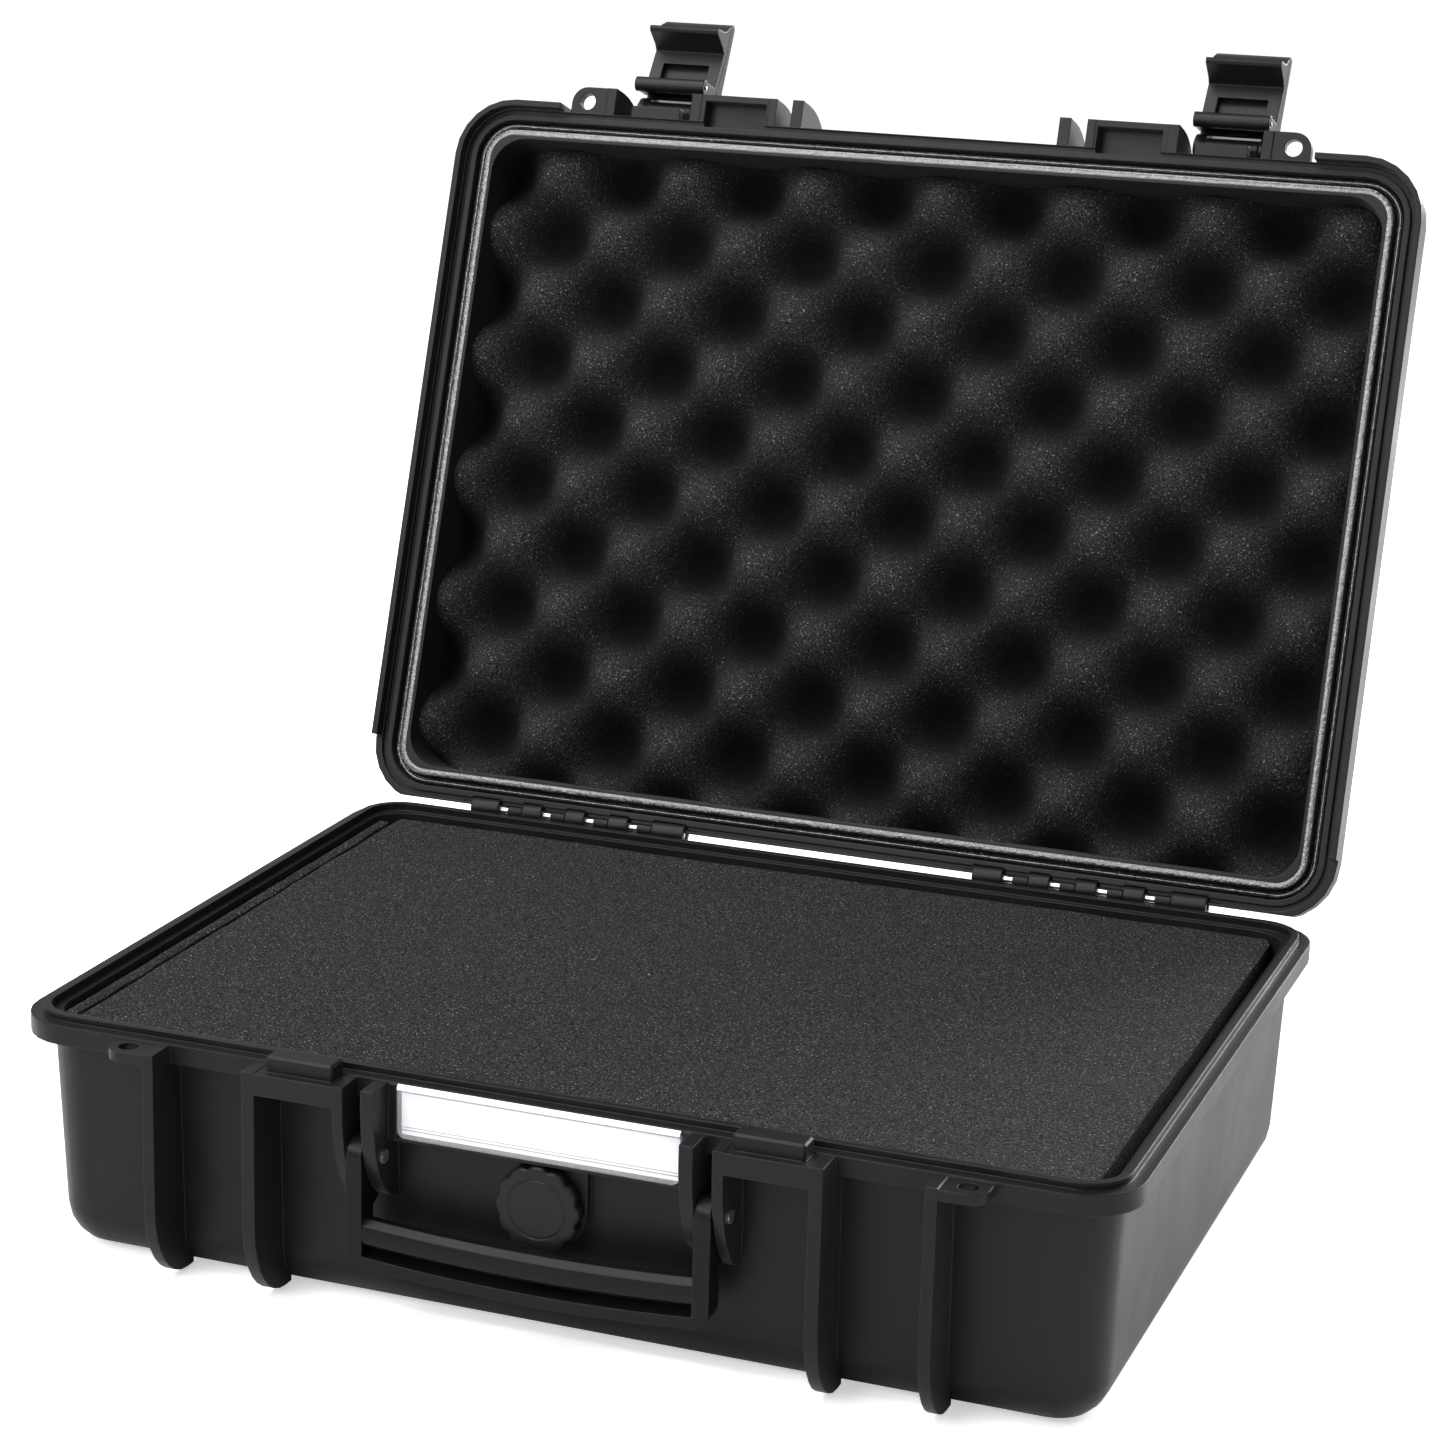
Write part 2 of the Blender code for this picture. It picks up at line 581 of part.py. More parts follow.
def build_latch(side_name, side, parts, lid_pivot, plastic_material, steel):
    centre = side * LATCH_X
    near, far = centre - LATCH_HALF_WIDTH, centre + LATCH_HALF_WIDTH
    pin_y, pin_z = LEVER_PIN_Y + CLAW_PIN[0], LEVER_PIN_Z + CLAW_PIN[1]
    lever_pivot = pivot(side_name + "_lever_axis", (centre, LEVER_PIN_Y, LEVER_PIN_Z),
                        parts, lid_pivot)
    claw_pivot = pivot(side_name + "_claw_axis", (centre, pin_y, pin_z), parts, lever_pivot)

    lever = outline_solid(side_name + "_latch_lever", around_pin(LEVER_OUTLINE), (near, far),
                          "X", parts, lever_pivot)
    cuts = tool_collection(side_name + "_lever_cuts")
    span_box("lever_gap", (centre - CHEEK_IN, centre + CHEEK_IN),
             (LEVER_PIN_Y - LEVER_WEB_GAP, LEVER_PIN_Y + 0.01),
             (LEVER_PIN_Z - 0.01, LEVER_PIN_Z + 0.02), cuts, lever_pivot)
    cylinder("lever_bore", (centre, LEVER_PIN_Y, LEVER_PIN_Z), LEVER_PIN_RADIUS + GAP, 0.05,
             "X", cuts, lever_pivot, segments=16)
    lug = arc(CLAW_PIN, LUG_RADIUS, 180, 360, 8)
    lug += [(-0.0083, 0.0080), (-0.0125, 0.0120), (-0.0160, 0.0132), (-0.0160, 0.0088),
            (-0.0127, 0.0072)]
    lug = outline_solid(side_name + "_claw_lug", around_pin(lug),
                        (centre - LUG_HALF, centre + LUG_HALF), "X", TOOLS, lever_pivot)
    bore = cylinder(side_name + "_lug_bore", (centre, pin_y, pin_z), CLAW_PIN_RADIUS + GAP,
                    0.02, "X", TOOLS, lever_pivot, segments=16)
    boolean(lever, "DIFFERENCE", cuts)
    boolean(lever, "UNION", tool=lug)
    boolean(lever, "DIFFERENCE", tool=bore)
    finish(lever, plastic_material)

    claw = outline_solid(side_name + "_latch_claw", around_pin(CLAW_OUTLINE), (near, far),
                         "X", parts, claw_pivot)
    barrel = cylinder(side_name + "_barrel", (centre, pin_y, pin_z), BARREL_RADIUS,
                      far - near, "X", TOOLS, claw_pivot)
    cuts = tool_collection(side_name + "_claw_cuts")
    slot_half = LUG_HALF + GAP
    span_box("lug_slot", (centre - slot_half, centre + slot_half),
             (LEVER_PIN_Y - 0.01305, LEVER_PIN_Y - 0.0060),
             (pin_z, LEVER_PIN_Z + 0.02), cuts, claw_pivot)
    cylinder("lug_round", (centre, pin_y, pin_z), LUG_RADIUS + GAP, 2 * slot_half, "X", cuts,
             claw_pivot)
    cylinder("claw_bore", (centre, pin_y, pin_z), CLAW_PIN_RADIUS + GAP, 0.05, "X", cuts,
             claw_pivot, segments=16)
    span_box("claw_window", (centre - 0.0105, centre + 0.0105),
             (LEVER_PIN_Y - 0.0235, LEVER_PIN_Y - 0.0150),
             (LEVER_PIN_Z, LEVER_PIN_Z + 0.02), cuts, claw_pivot)
    boolean(claw, "UNION", tool=barrel)
    boolean(claw, "DIFFERENCE", cuts)
    finish(claw, plastic_material)

    pin = cylinder(side_name + "_lever_pin", (centre, LEVER_PIN_Y, LEVER_PIN_Z),
                   LEVER_PIN_RADIUS, 2 * LATCH_HALF_WIDTH + 0.0010, "X", parts, lid_pivot,
                   segments=16)
    finish(pin, steel)
    pin = cylinder(side_name + "_claw_pin", (centre, pin_y, pin_z), CLAW_PIN_RADIUS,
                   2 * LATCH_HALF_WIDTH + 0.0010, "X", parts, lever_pivot, segments=16)
    finish(pin, steel)


def bowed_line(z, half, bow, steps=12):
    """(X, Z) points from +half to -half that dip by bow in the middle."""
    points = []
    for i in range(steps + 1):
        x = half - 2 * half * i / steps
        points.append((x, z - bow * (1 - (x / half) ** 2)))
    return points


def bowed_bar(name, z, half, parent):
    """An oval bar that follows the grip's bow, as a closed mesh among the cutters."""
    half_depth, half_height = GRIP_BAR
    curve = bpy.data.curves.new(name, "CURVE")
    curve.dimensions = "3D"
    curve.bevel_depth = half_height
    curve.bevel_resolution = 3
    curve.use_fill_caps = True
    line = bowed_line(z, half, GRIP_BOW)
    spline = curve.splines.new("POLY")
    spline.points.add(len(line) - 1)
    for point, (across, up) in zip(spline.points, line):
        point.co = (across, 0.0, up, 1.0)
    guide = bpy.data.objects.new(name + "_line", curve)
    bpy.context.scene.collection.objects.link(guide)
    depsgraph = bpy.context.evaluated_depsgraph_get()
    tube = bpy.data.meshes.new_from_object(guide.evaluated_get(depsgraph))
    bm = bmesh.new()
    bm.from_mesh(tube)
    bpy.data.objects.remove(guide, do_unlink=True)
    bmesh.ops.remove_doubles(bm, verts=bm.verts, dist=1e-6)
    bmesh.ops.scale(bm, vec=(1.0, half_depth / half_height, 1.0), verts=bm.verts)
    bmesh.ops.translate(bm, vec=(0.0, GRIP_BAR_Y, 0.0), verts=bm.verts)
    return object_from_bmesh(name, bm, TOOLS, parent)


def build_handle(parts, material):
    axis = pivot("handle_axis", (0.0, HANDLE_PIN_Y, HANDLE_PIN_Z), parts)
    top = HANDLE_PIN_Z + 0.0068
    outer, inner = ARM_X[1], ARM_X[0]
    foot = RAIL_BOTTOM_Z
    heel = arc((outer - 0.007, foot + 0.007), 0.007, 0, -90, 5)
    frame = [(outer, top), (inner, top)]
    frame += bowed_line(RAIL_TOP_Z, inner, GRIP_BOW)
    frame += [(-inner, top), (-outer, top)]
    frame += [(-x, z) for x, z in heel]
    frame += reversed(bowed_line(foot, outer - 0.010, GRIP_BOW))
    frame += reversed(heel)
    handle = outline_solid("handle", frame, (HANDLE_FRONT_Y, GRIP_BACK_Y), "Y", parts, axis)
    bar_z = (GRIP_TOP_Z + GRIP_BOTTOM_Z) / 2
    bar = bowed_bar("grip_bar", bar_z, inner + GRIP_BAR_IN, axis)

    openings = tool_collection("handle_openings")
    eyes = tool_collection("handle_eyes")
    bores = tool_collection("handle_bores")
    for x_range in both_sides(ARM_X):
        middle = sum(x_range) / 2
        eye = arc((HANDLE_PIN_Y, HANDLE_PIN_Z), 0.0070, 0, 180, 10)
        eye += [(HANDLE_FRONT_Y + 0.0004, GRIP_TOP_Z - 0.002)]
        eye += [(-0.1455, GRIP_TOP_Z + 0.004)]
        eye_x = (x_range[0] + SHY, x_range[1] - SHY)
        outline_solid("handle_eye", eye, eye_x, "X", eyes, axis)
        cylinder("handle_bore", (middle, HANDLE_PIN_Y, HANDLE_PIN_Z), HANDLE_PIN_RADIUS + GAP,
                 0.02, "X", bores, axis)
        span_box("handle_corner", (x_range[0] - 0.001, x_range[1] + 0.001), (-0.17, -0.14),
                 (HANDLE_PIN_Z - 0.0002, HANDLE_PIN_Z + 0.02), openings, axis)
    boolean(handle, "DIFFERENCE", openings)
    boolean(handle, "UNION", tool=bar)
    boolean(handle, "UNION", eyes)
    boolean(handle, "DIFFERENCE", bores)
    finish(handle, material)


def build_handle_pins(parts, steel):
    for name, side in (("left_handle_pin", -1), ("right_handle_pin", 1)):
        middle = side * (EAR[0] + INNER_LEG[1]) / 2
        pin = cylinder(name, (middle, HANDLE_PIN_Y, HANDLE_PIN_Z), HANDLE_PIN_RADIUS,
                       INNER_LEG[1] - EAR[0] + 0.0012, "X", parts)
        finish(pin, steel)


def turned(name, profile, axis_at, collection, parent=None, segments=32):
    """A closed ring profile of (radius, Y) points turned about the Y axis."""
    mesh = bpy.data.meshes.new(name)
    count = len(profile)
    edges = [((i + 1) % count, i) for i in range(count)]
    mesh.from_pydata([(r, 0.0, -y) for r, y in profile], edges, [])
    obj = bpy.data.objects.new(name, mesh)
    collection.objects.link(obj)
    obj.location = axis_at
    obj.rotation_euler.x = math.radians(90)
    if parent:
        obj.parent = parent
        obj.location = Vector(axis_at) - Vector(parent["closed_at"])
    screw = obj.modifiers.new("Screw", "SCREW")
    screw.angle = math.tau
    screw.steps = segments
    screw.render_steps = segments
    screw.use_merge_vertices = True
    screw.merge_threshold = 0.00001
    screw.use_normal_calculate = True
    screw.use_normal_flip = True
    return obj


def build_valve(parts, material, rubber):
    at = (0.0, 0.0, VALVE_Z)
    body = [(0.0100, -0.1464), (0.0100, -0.1454), (0.0057, -0.1454), (0.0057, -0.1318),
            (0.0027, -0.1318), (0.0027, -0.1464)]
    finish(turned("valve_body", body, at, parts), material)
    seal = [(0.0092, -0.1451), (0.0092, -0.1445), (0.0063, -0.1445), (0.0063, -0.1451)]
    finish(turned("valve_seal", seal, at, parts), rubber)

    nut = outline_solid("valve_nut", [(x, z + VALVE_Z) for x, z in arc((0, 0), 0.0092, 0, 300, 5)],
                        (-0.1372, -0.1332), "Y", parts)
    nut_bore = cylinder("nut_bore", (0, -0.1352, VALVE_Z), 0.0060, 0.02, "Y", TOOLS)
    boolean(nut, "DIFFERENCE", tool=nut_bore)
    finish(nut, material)

    axis = pivot("valve_axis", (0.0, KNOB_FACE_Y, VALVE_Z), parts)
    steps = SCALLOPS * 6
    rim = []
    for i in range(steps):
        turn = math.tau * i / steps
        radius = KNOB_RADIUS - 0.0011 * (0.5 - 0.5 * math.cos(SCALLOPS * turn)) ** 3
        rim.append((radius * math.cos(turn), VALVE_Z + radius * math.sin(turn)))
    knob = outline_solid("valve_knob", rim, (KNOB_FACE_Y, KNOB_BACK_Y), "Y", parts, axis)
    soften(knob, 0.0005, angle=60)
    cup = cylinder("knob_cup", (0, KNOB_BACK_Y, VALVE_Z), 0.0112, 0.0038, "Y", TOOLS, axis)
    stem = cylinder("knob_stem", (0, -0.1410, VALVE_Z), 0.0024, 0.0130, "Y", TOOLS, axis)
    boolean(knob, "DIFFERENCE", tool=cup)
    boolean(knob, "UNION", tool=stem)
    finish(knob, material)


def build_label(parts, card_material, clear_material):
    half = LABEL_HALF
    card = span_box("label_card", (-half + 0.001, half - 0.001), (-0.1480, -0.1476),
                    (LABEL_BOTTOM + 0.001, LABEL_TOP - 0.001), parts)
    finish(card, card_material)
    cover = span_box("label_cover", (-half, half), (-0.1503, -0.1483),
                     (LABEL_BOTTOM, LABEL_TOP), parts)
    soften(cover, 0.0007)
    finish(cover, clear_material)


def build_foam(parts, hinge, base_foam, lid_foam):
    wall = BODY_INSET + WALL + 0.0005
    slope = BASE_DRAFT / RIM_Z
    depth_top = HALF_Y - wall - slope * (RIM_Z - FOAM_TOP)
    pluck = rounded_block("base_foam_pluck", FOAM_HALF_X, depth_top, (FOAM_SPLIT, FOAM_TOP),
                          0.012, parts, draft=slope * (FOAM_TOP - FOAM_SPLIT))
    notch = span_box("foam_notch", (-0.0115, 0.0115), (-0.15, -0.1300),
                     (FOAM_SPLIT - 0.01, VALVE_Z + 0.0115), TOOLS)
    boolean(pluck, "DIFFERENCE", tool=notch)
    finish(pluck, base_foam)
    depth_split = HALF_Y - wall - slope * (RIM_Z - FOAM_SPLIT) - 0.0010
    pad_high = FOAM_SPLIT - GAP
    pad = rounded_block("base_foam_pad", FOAM_HALF_X, depth_split, (WALL + 0.0006, pad_high),
                        0.0145, parts, draft=slope * pad_high, edge=FOOT_RADIUS - WALL)
    finish(pad, base_foam)

    inset = LID_CAVITY_INSET + 0.0005
    low = RIM_Z + LID_FOAM_RISE
    high = RIM_Z + LID_HEIGHT - LID_ROOF - 0.0006
    shrink = LID_DRAFT * LID_FOAM_RISE / LID_HEIGHT
    crate = rounded_block("lid_foam", HALF_X - inset - shrink, HALF_Y - inset - shrink,
                          (low, high), 0.0150, parts, hinge, draft=LID_DRAFT,
                          edge=LID_TOP_RADIUS - LID_ROOF, narrow_end="high")
    finish(crate, lid_foam)


clear_scene()
PARTS = new_collection("hard_equipment_case")
TOOLS = new_collection("cutters")

case_black = plastic("case_black", (0.022, 0.022, 0.024), 0.42)
latch_black = plastic("latch_black", (0.030, 0.030, 0.032), 0.38)
rubber_black = plastic("rubber_black", (0.012, 0.012, 0.013), 0.22)
steel = plastic("steel", (0.62, 0.62, 0.64), 0.25, 1.0)
foam_grey = plastic("foam_grey", (0.055, 0.051, 0.054), 0.95)
foam_black = plastic("foam_black", (0.030, 0.028, 0.029), 0.95)
card_white = plastic("card_white", (0.85, 0.85, 0.86), 0.6)
clear_cover = plastic("clear_cover", (0.90, 0.92, 0.93), 0.1)

lid_axis = pivot("lid_axis", (0.0, HINGE_Y, HINGE_Z), PARTS, turn=-LID_OPEN)
build_base(PARTS, case_black)
build_lid(PARTS, lid_axis, case_black)
build_gasket(PARTS, lid_axis, rubber_black)
build_hinge_pins(PARTS, steel)
for latch_name, latch_side in (("left", -1), ("right", 1)):
    build_latch(latch_name, latch_side, PARTS, lid_axis, latch_black, steel)
build_handle(PARTS, latch_black)
build_handle_pins(PARTS, steel)
build_valve(PARTS, latch_black, rubber_black)
build_label(PARTS, card_white, clear_cover)
build_foam(PARTS, lid_axis, foam_grey, foam_black)

for tool in TOOLS.all_objects:
    tool.hide_render = True
    tool.display_type = "WIRE"
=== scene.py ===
"""Looks of an open hard equipment case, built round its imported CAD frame."""
import json
import math
import random

import bmesh
import bpy
from mathutils import Matrix, Vector, noise


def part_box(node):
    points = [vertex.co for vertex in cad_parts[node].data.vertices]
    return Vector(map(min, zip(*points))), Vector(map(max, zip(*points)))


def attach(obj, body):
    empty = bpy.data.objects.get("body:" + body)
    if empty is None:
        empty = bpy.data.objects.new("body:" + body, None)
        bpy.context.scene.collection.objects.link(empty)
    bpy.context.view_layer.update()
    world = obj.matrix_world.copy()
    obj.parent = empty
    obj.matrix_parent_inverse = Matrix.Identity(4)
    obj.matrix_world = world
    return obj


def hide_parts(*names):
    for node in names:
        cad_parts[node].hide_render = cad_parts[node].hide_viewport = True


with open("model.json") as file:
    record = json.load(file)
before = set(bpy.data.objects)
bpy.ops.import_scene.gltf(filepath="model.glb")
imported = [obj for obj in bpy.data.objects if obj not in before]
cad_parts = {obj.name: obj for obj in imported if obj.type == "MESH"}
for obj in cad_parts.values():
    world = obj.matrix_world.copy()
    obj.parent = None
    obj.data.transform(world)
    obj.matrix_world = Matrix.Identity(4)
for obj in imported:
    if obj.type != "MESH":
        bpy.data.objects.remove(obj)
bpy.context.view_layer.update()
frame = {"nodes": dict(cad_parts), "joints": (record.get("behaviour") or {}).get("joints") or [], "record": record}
NODES = frame["nodes"]
HINGE = next(j for j in frame["joints"] if j["name"] == "lid_hinge")
KNOB = next(j for j in frame["joints"] if j["name"] == "valve_knob_turn")
LID_OPEN = math.radians(HINGE["range_deg"][1])
HINGE_AT = Vector(HINGE["pos_m"])

# World place of a point given with the lid closed.
OPEN_LID = (Matrix.Translation(HINGE_AT) @ Matrix.Rotation(-LID_OPEN, 4, "X")
            @ Matrix.Translation(-HINGE_AT))


def closed_box(node):
    """A lid node's box with the lid closed."""
    shut = OPEN_LID.inverted()
    points = [shut @ v.co for v in NODES[node].data.vertices]
    low = Vector([min(p[i] for p in points) for i in range(3)])
    high = Vector([max(p[i] for p in points) for i in range(3)])
    return low, high


# The egg-crate foam, with the lid closed: depth of its valleys, and height of its peaks.
CRATE_DEPTH = 0.0225
CRATE_LOW = closed_box("lid_foam")[0].z

# Painted shade: the valleys darken over this share of their depth, by this power.
SHADE_SHARES = (0.92, 0.08)
SHADE_POWER = 1.25

PLASTIC_EDGE = 0.0007           # radius of the rounded shading on moulded edges
PLASTIC_GRAIN_DEPTH = 0.00003
PLASTIC_SHEEN_ROUGHNESS = 0.35


# ---------------------------------------------------------------- materials

class Nodes:
    """Short forms for building a node material."""

    def __init__(self, name):
        self.material = bpy.data.materials.new(name)
        self.material.use_nodes = True
        self.tree = self.material.node_tree
        self.shader = self.tree.nodes["Principled BSDF"]
        self.coords = self.add("ShaderNodeTexCoord").outputs["Object"]

    def add(self, kind, **settings):
        node = self.tree.nodes.new(kind)
        for key, value in settings.items():
            setattr(node, key, value)
        return node

    def link(self, source, target):
        self.tree.links.new(source, target)

    def noise(self, scale, detail=2.0, roughness=0.5):
        node = self.add("ShaderNodeTexNoise")
        node.inputs["Scale"].default_value = scale
        node.inputs["Detail"].default_value = detail
        node.inputs["Roughness"].default_value = roughness
        self.link(self.coords, node.inputs["Vector"])
        return node.outputs["Fac"]

    def voronoi(self, scale):
        node = self.add("ShaderNodeTexVoronoi")
        node.inputs["Scale"].default_value = scale
        self.link(self.coords, node.inputs["Vector"])
        return node.outputs["Distance"]

    def spread(self, value, low, high, to_low=0.0, to_high=1.0):
        node = self.add("ShaderNodeMapRange")
        for key, number in (("From Min", low), ("From Max", high),
                            ("To Min", to_low), ("To Max", to_high)):
            node.inputs[key].default_value = number
        self.link(value, node.inputs["Value"])
        return node.outputs["Result"]

    def mix(self, share, first, second):
        node = self.add("ShaderNodeMix", data_type="RGBA")
        self.link(share, node.inputs["Factor"])
        for socket, colour in ((node.inputs[6], first), (node.inputs[7], second)):
            if isinstance(colour, tuple):
                socket.default_value = (*colour, 1.0)
            else:
                self.link(colour, socket)
        return node.outputs[2]

    def math(self, operation, first, second):
        node = self.add("ShaderNodeMath", operation=operation)
        for socket, value in zip(node.inputs, (first, second)):
            if isinstance(value, (int, float)):
                socket.default_value = value
            else:
                self.link(value, socket)
        return node.outputs[0]

    def along(self, direction, low, high):
        """0 to 1 between two distances from the origin along a direction."""
        node = self.add("ShaderNodeVectorMath", operation="DOT_PRODUCT")
        self.link(self.coords, node.inputs[0])
        node.inputs[1].default_value = direction
        return self.spread(node.outputs["Value"], low, high)

    def line(self, direction, at, half):
        """1 within half of a plane square to a direction, 0 elsewhere."""
        near = self.along(direction, at - half, at + half)
        return self.math("MULTIPLY", self.math("GREATER_THAN", near, 0.001),
                         self.math("LESS_THAN", near, 0.999))

    def bump(self, height, strength, distance, normal=None):
        node = self.add("ShaderNodeBump")
        node.inputs["Strength"].default_value = strength
        node.inputs["Distance"].default_value = distance
        self.link(height, node.inputs["Height"])
        if normal:
            self.link(normal, node.inputs["Normal"])
        return node.outputs["Normal"]

    def soft_edges(self, radius):
        node = self.add("ShaderNodeBevel", samples=6)
        node.inputs["Radius"].default_value = radius
        return node.outputs["Normal"]

    def edge_mask(self, bevelled):
        """1 on edges, 0 on flats: how far the rounded normal leaves the true one."""
        true = self.add("ShaderNodeNewGeometry").outputs["Normal"]
        dot = self.add("ShaderNodeVectorMath", operation="DOT_PRODUCT")
        self.link(bevelled, dot.inputs[0])
        self.link(true, dot.inputs[1])
        return self.spread(dot.outputs["Value"], 1.0, 0.86)

    def finish(self, colour, rough, normal=None):
        self.link(colour, self.shader.inputs["Base Color"])
        if isinstance(rough, float):
            self.shader.inputs["Roughness"].default_value = rough
        else:
            self.link(rough, self.shader.inputs["Roughness"])
        if normal:
            self.link(normal, self.shader.inputs["Normal"])
        return self.material


def moulded_plastic(name, colour, rough, grain=2600.0, specular=0.17, sheen=0.0):
    """Satin plastic with a fine grain, faint clouds, scuffs and lighter worn edges."""
    n = Nodes(name)
    n.shader.inputs["Sheen Weight"].default_value = sheen
    n.shader.inputs["Sheen Roughness"].default_value = PLASTIC_SHEEN_ROUGHNESS
    n.shader.inputs["Specular IOR Level"].default_value = specular
    bevelled = n.soft_edges(PLASTIC_EDGE)
    fine = n.noise(grain, 3.0, 0.6)
    cloud = n.noise(22.0, 4.0, 0.6)
    scuff = n.spread(n.noise(160.0, 5.0, 0.7), 0.60, 0.78)
    lighter = tuple(c * 2.2 + 0.010 for c in colour)
    darker = tuple(c * 0.72 for c in colour)
    base = n.mix(n.spread(cloud, 0.35, 0.65), darker, tuple(colour))
    worn = n.math("MULTIPLY", n.edge_mask(bevelled), n.spread(n.noise(400.0, 4.0), 0.35, 0.65))
    base = n.mix(n.math("MULTIPLY", worn, 0.7), base, lighter)
    base = n.mix(n.math("MULTIPLY", scuff, 0.35), base, lighter)
    roughness = n.math("ADD", n.spread(cloud, 0.3, 0.7, rough - 0.05, rough + 0.05),
                       n.math("MULTIPLY", scuff, 0.08))
    return n.finish(base, roughness, n.bump(fine, 0.35, PLASTIC_GRAIN_DEPTH, bevelled))


def open_cell_foam(name, colour, grain, shade=None):
    """Foam with an open grain, lit cell walls and sparse painted glints; shade darkens it where it nears 0."""
    n = Nodes(name)
    cells = n.noise(grain, 2.0, 0.75)
    pits = n.voronoi(grain * 0.55)
    cloud = n.noise(24.0, 4.0, 0.6)
    dark, bright, painted_glint = (tuple(c * k for c in colour) for k in (0.18, 2.05, 8.0))
    base = n.mix(n.spread(cells, 0.36, 0.64), dark, bright)
    base = n.mix(n.spread(pits, 0.0, 0.45, 0.55, 0.0), base, dark)
    base = n.mix(n.spread(cloud, 0.3, 0.7, 0.0, 0.25), base, tuple(colour))
    # Painted glints: sparse specks far brighter than the foam.
    base = n.mix(n.spread(n.noise(grain * 1.1, 0.0), 0.72, 0.765), base, painted_glint)
    if shade:
        # Painted shade: the egg-crate's valleys go dark with their depth.
        base = n.mix(shade(n), tuple(c * 0.10 for c in colour), base)
    height = n.math("ADD", cells, n.math("MULTIPLY", pits, 0.6))
    n.shader.inputs["Specular IOR Level"].default_value = 0.10
    return n.finish(base, 1.0, n.bump(height, 0.9, 0.0007))


def crate_shade(n):
    """The valleys of the egg-crate foam lie in their own shadow."""
    shut = OPEN_LID.inverted()[2]
    peak = CRATE_LOW - shut[3]
    deep, shallow = (peak + CRATE_DEPTH * share for share in SHADE_SHARES)
    return n.math("POWER", n.along(tuple(shut[:3]), deep, shallow), SHADE_POWER)


def glossy_rim(name, ripples, depth):
    """Glossy black rubber or polished plastic with a rippled surface."""
    n = Nodes(name)
    ripple = n.noise(ripples, 3.0, 0.65)
    fine = n.noise(1500.0, 2.0)
    base = n.mix(n.spread(ripple, 0.35, 0.65), (0.006, 0.006, 0.007), (0.016, 0.016, 0.017))
    roughness = n.spread(ripple, 0.35, 0.7, 0.10, 0.24)
    n.shader.inputs["Specular IOR Level"].default_value = 1.0
    n.shader.inputs["Coat Weight"].default_value = 0.6
    n.shader.inputs["Coat Roughness"].default_value = 0.08
    soft = n.bump(ripple, 0.9, depth)
    return n.finish(base, roughness, n.bump(fine, 0.3, 0.00008, soft))


def turned_steel(name):
    """Steel with fine turning marks round the X axis."""
    n = Nodes(name)
    stretch = n.add("ShaderNodeMapping")
    stretch.inputs["Scale"].default_value = (60.0, 4000.0, 4000.0)
    n.link(n.coords, stretch.inputs["Vector"])
    lines = n.add("ShaderNodeTexNoise")
    lines.inputs["Scale"].default_value = 1.0
    n.link(stretch.outputs["Vector"], lines.inputs["Vector"])
    n.shader.inputs["Metallic"].default_value = 1.0
    base = n.mix(lines.outputs["Fac"], (0.62, 0.62, 0.63), (0.88, 0.88, 0.88))
    roughness = n.spread(lines.outputs["Fac"], 0.3, 0.7, 0.20, 0.38)
    return n.finish(base, roughness, n.bump(lines.outputs["Fac"], 0.2, 0.00004))


def white_card(name, low, high):
    """White card with a thin double line near its bottom and one near its top, painted shade that stands for the
    clear cover's edges.
    """
    n = Nodes(name)
    fibre = n.noise(900.0, 4.0, 0.6)
    base = n.mix(n.spread(fibre, 0.3, 0.7), (0.74, 0.74, 0.77), (0.80, 0.80, 0.82))
    # Painted shade: dark lines where the clear cover's edges show.
    for at, half in ((low.z + 0.0016, 0.00022), (low.z + 0.0027, 0.00016),
                     (high.z - 0.0012, 0.00024)):
        base = n.mix(n.line((0.0, 0.0, 1.0), at, half), base, (0.17, 0.17, 0.19))
    return n.finish(base, 0.7, n.bump(fibre, 0.15, 0.00003))


def clear_plastic(name, alpha):
    """Slightly hazy glossy plastic; a higher alpha hides more of what is behind it."""
    n = Nodes(name)
    haze = n.noise(300.0, 3.0)
    base = n.mix(haze, (0.84, 0.85, 0.87), (0.90, 0.90, 0.91))
    n.shader.inputs["Alpha"].default_value = alpha
    n.shader.inputs["Specular IOR Level"].default_value = 0.6
    return n.finish(base, n.spread(haze, 0.3, 0.7, 0.04, 0.10), n.soft_edges(0.0004))


CASE = moulded_plastic("case_plastic_look", (0.0055, 0.0055, 0.0063), 0.42, sheen=0.05)
LATCH = moulded_plastic("latch_plastic_look", (0.0085, 0.0085, 0.0100), 0.38, grain=3200.0)
GRIP = moulded_plastic("handle_plastic_look", (0.0045, 0.0045, 0.0052), 0.36, grain=2000.0,
                       specular=0.13)
BASE_FOAM = open_cell_foam("base_foam_look", (0.0200, 0.0194, 0.0200), 1200.0)
LID_FOAM = open_cell_foam("lid_foam_look", (0.0180, 0.0177, 0.0180), 1250.0, crate_shade)
SEAL = glossy_rim("seal_look", 420.0, 0.0007)
LIP = glossy_rim("lip_look", 480.0, 0.0011)
STEEL = turned_steel("steel_look")
CARD = white_card("card_look", *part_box("label_card"))
CLEAR = clear_plastic("cover_look", 0.16)
# Nearly opaque pale plastic for the window's bevelled top edge: a painted highlight.
EDGE_HIGHLIGHT_PLASTIC = clear_plastic("cover_edge_highlight_look", 0.9)


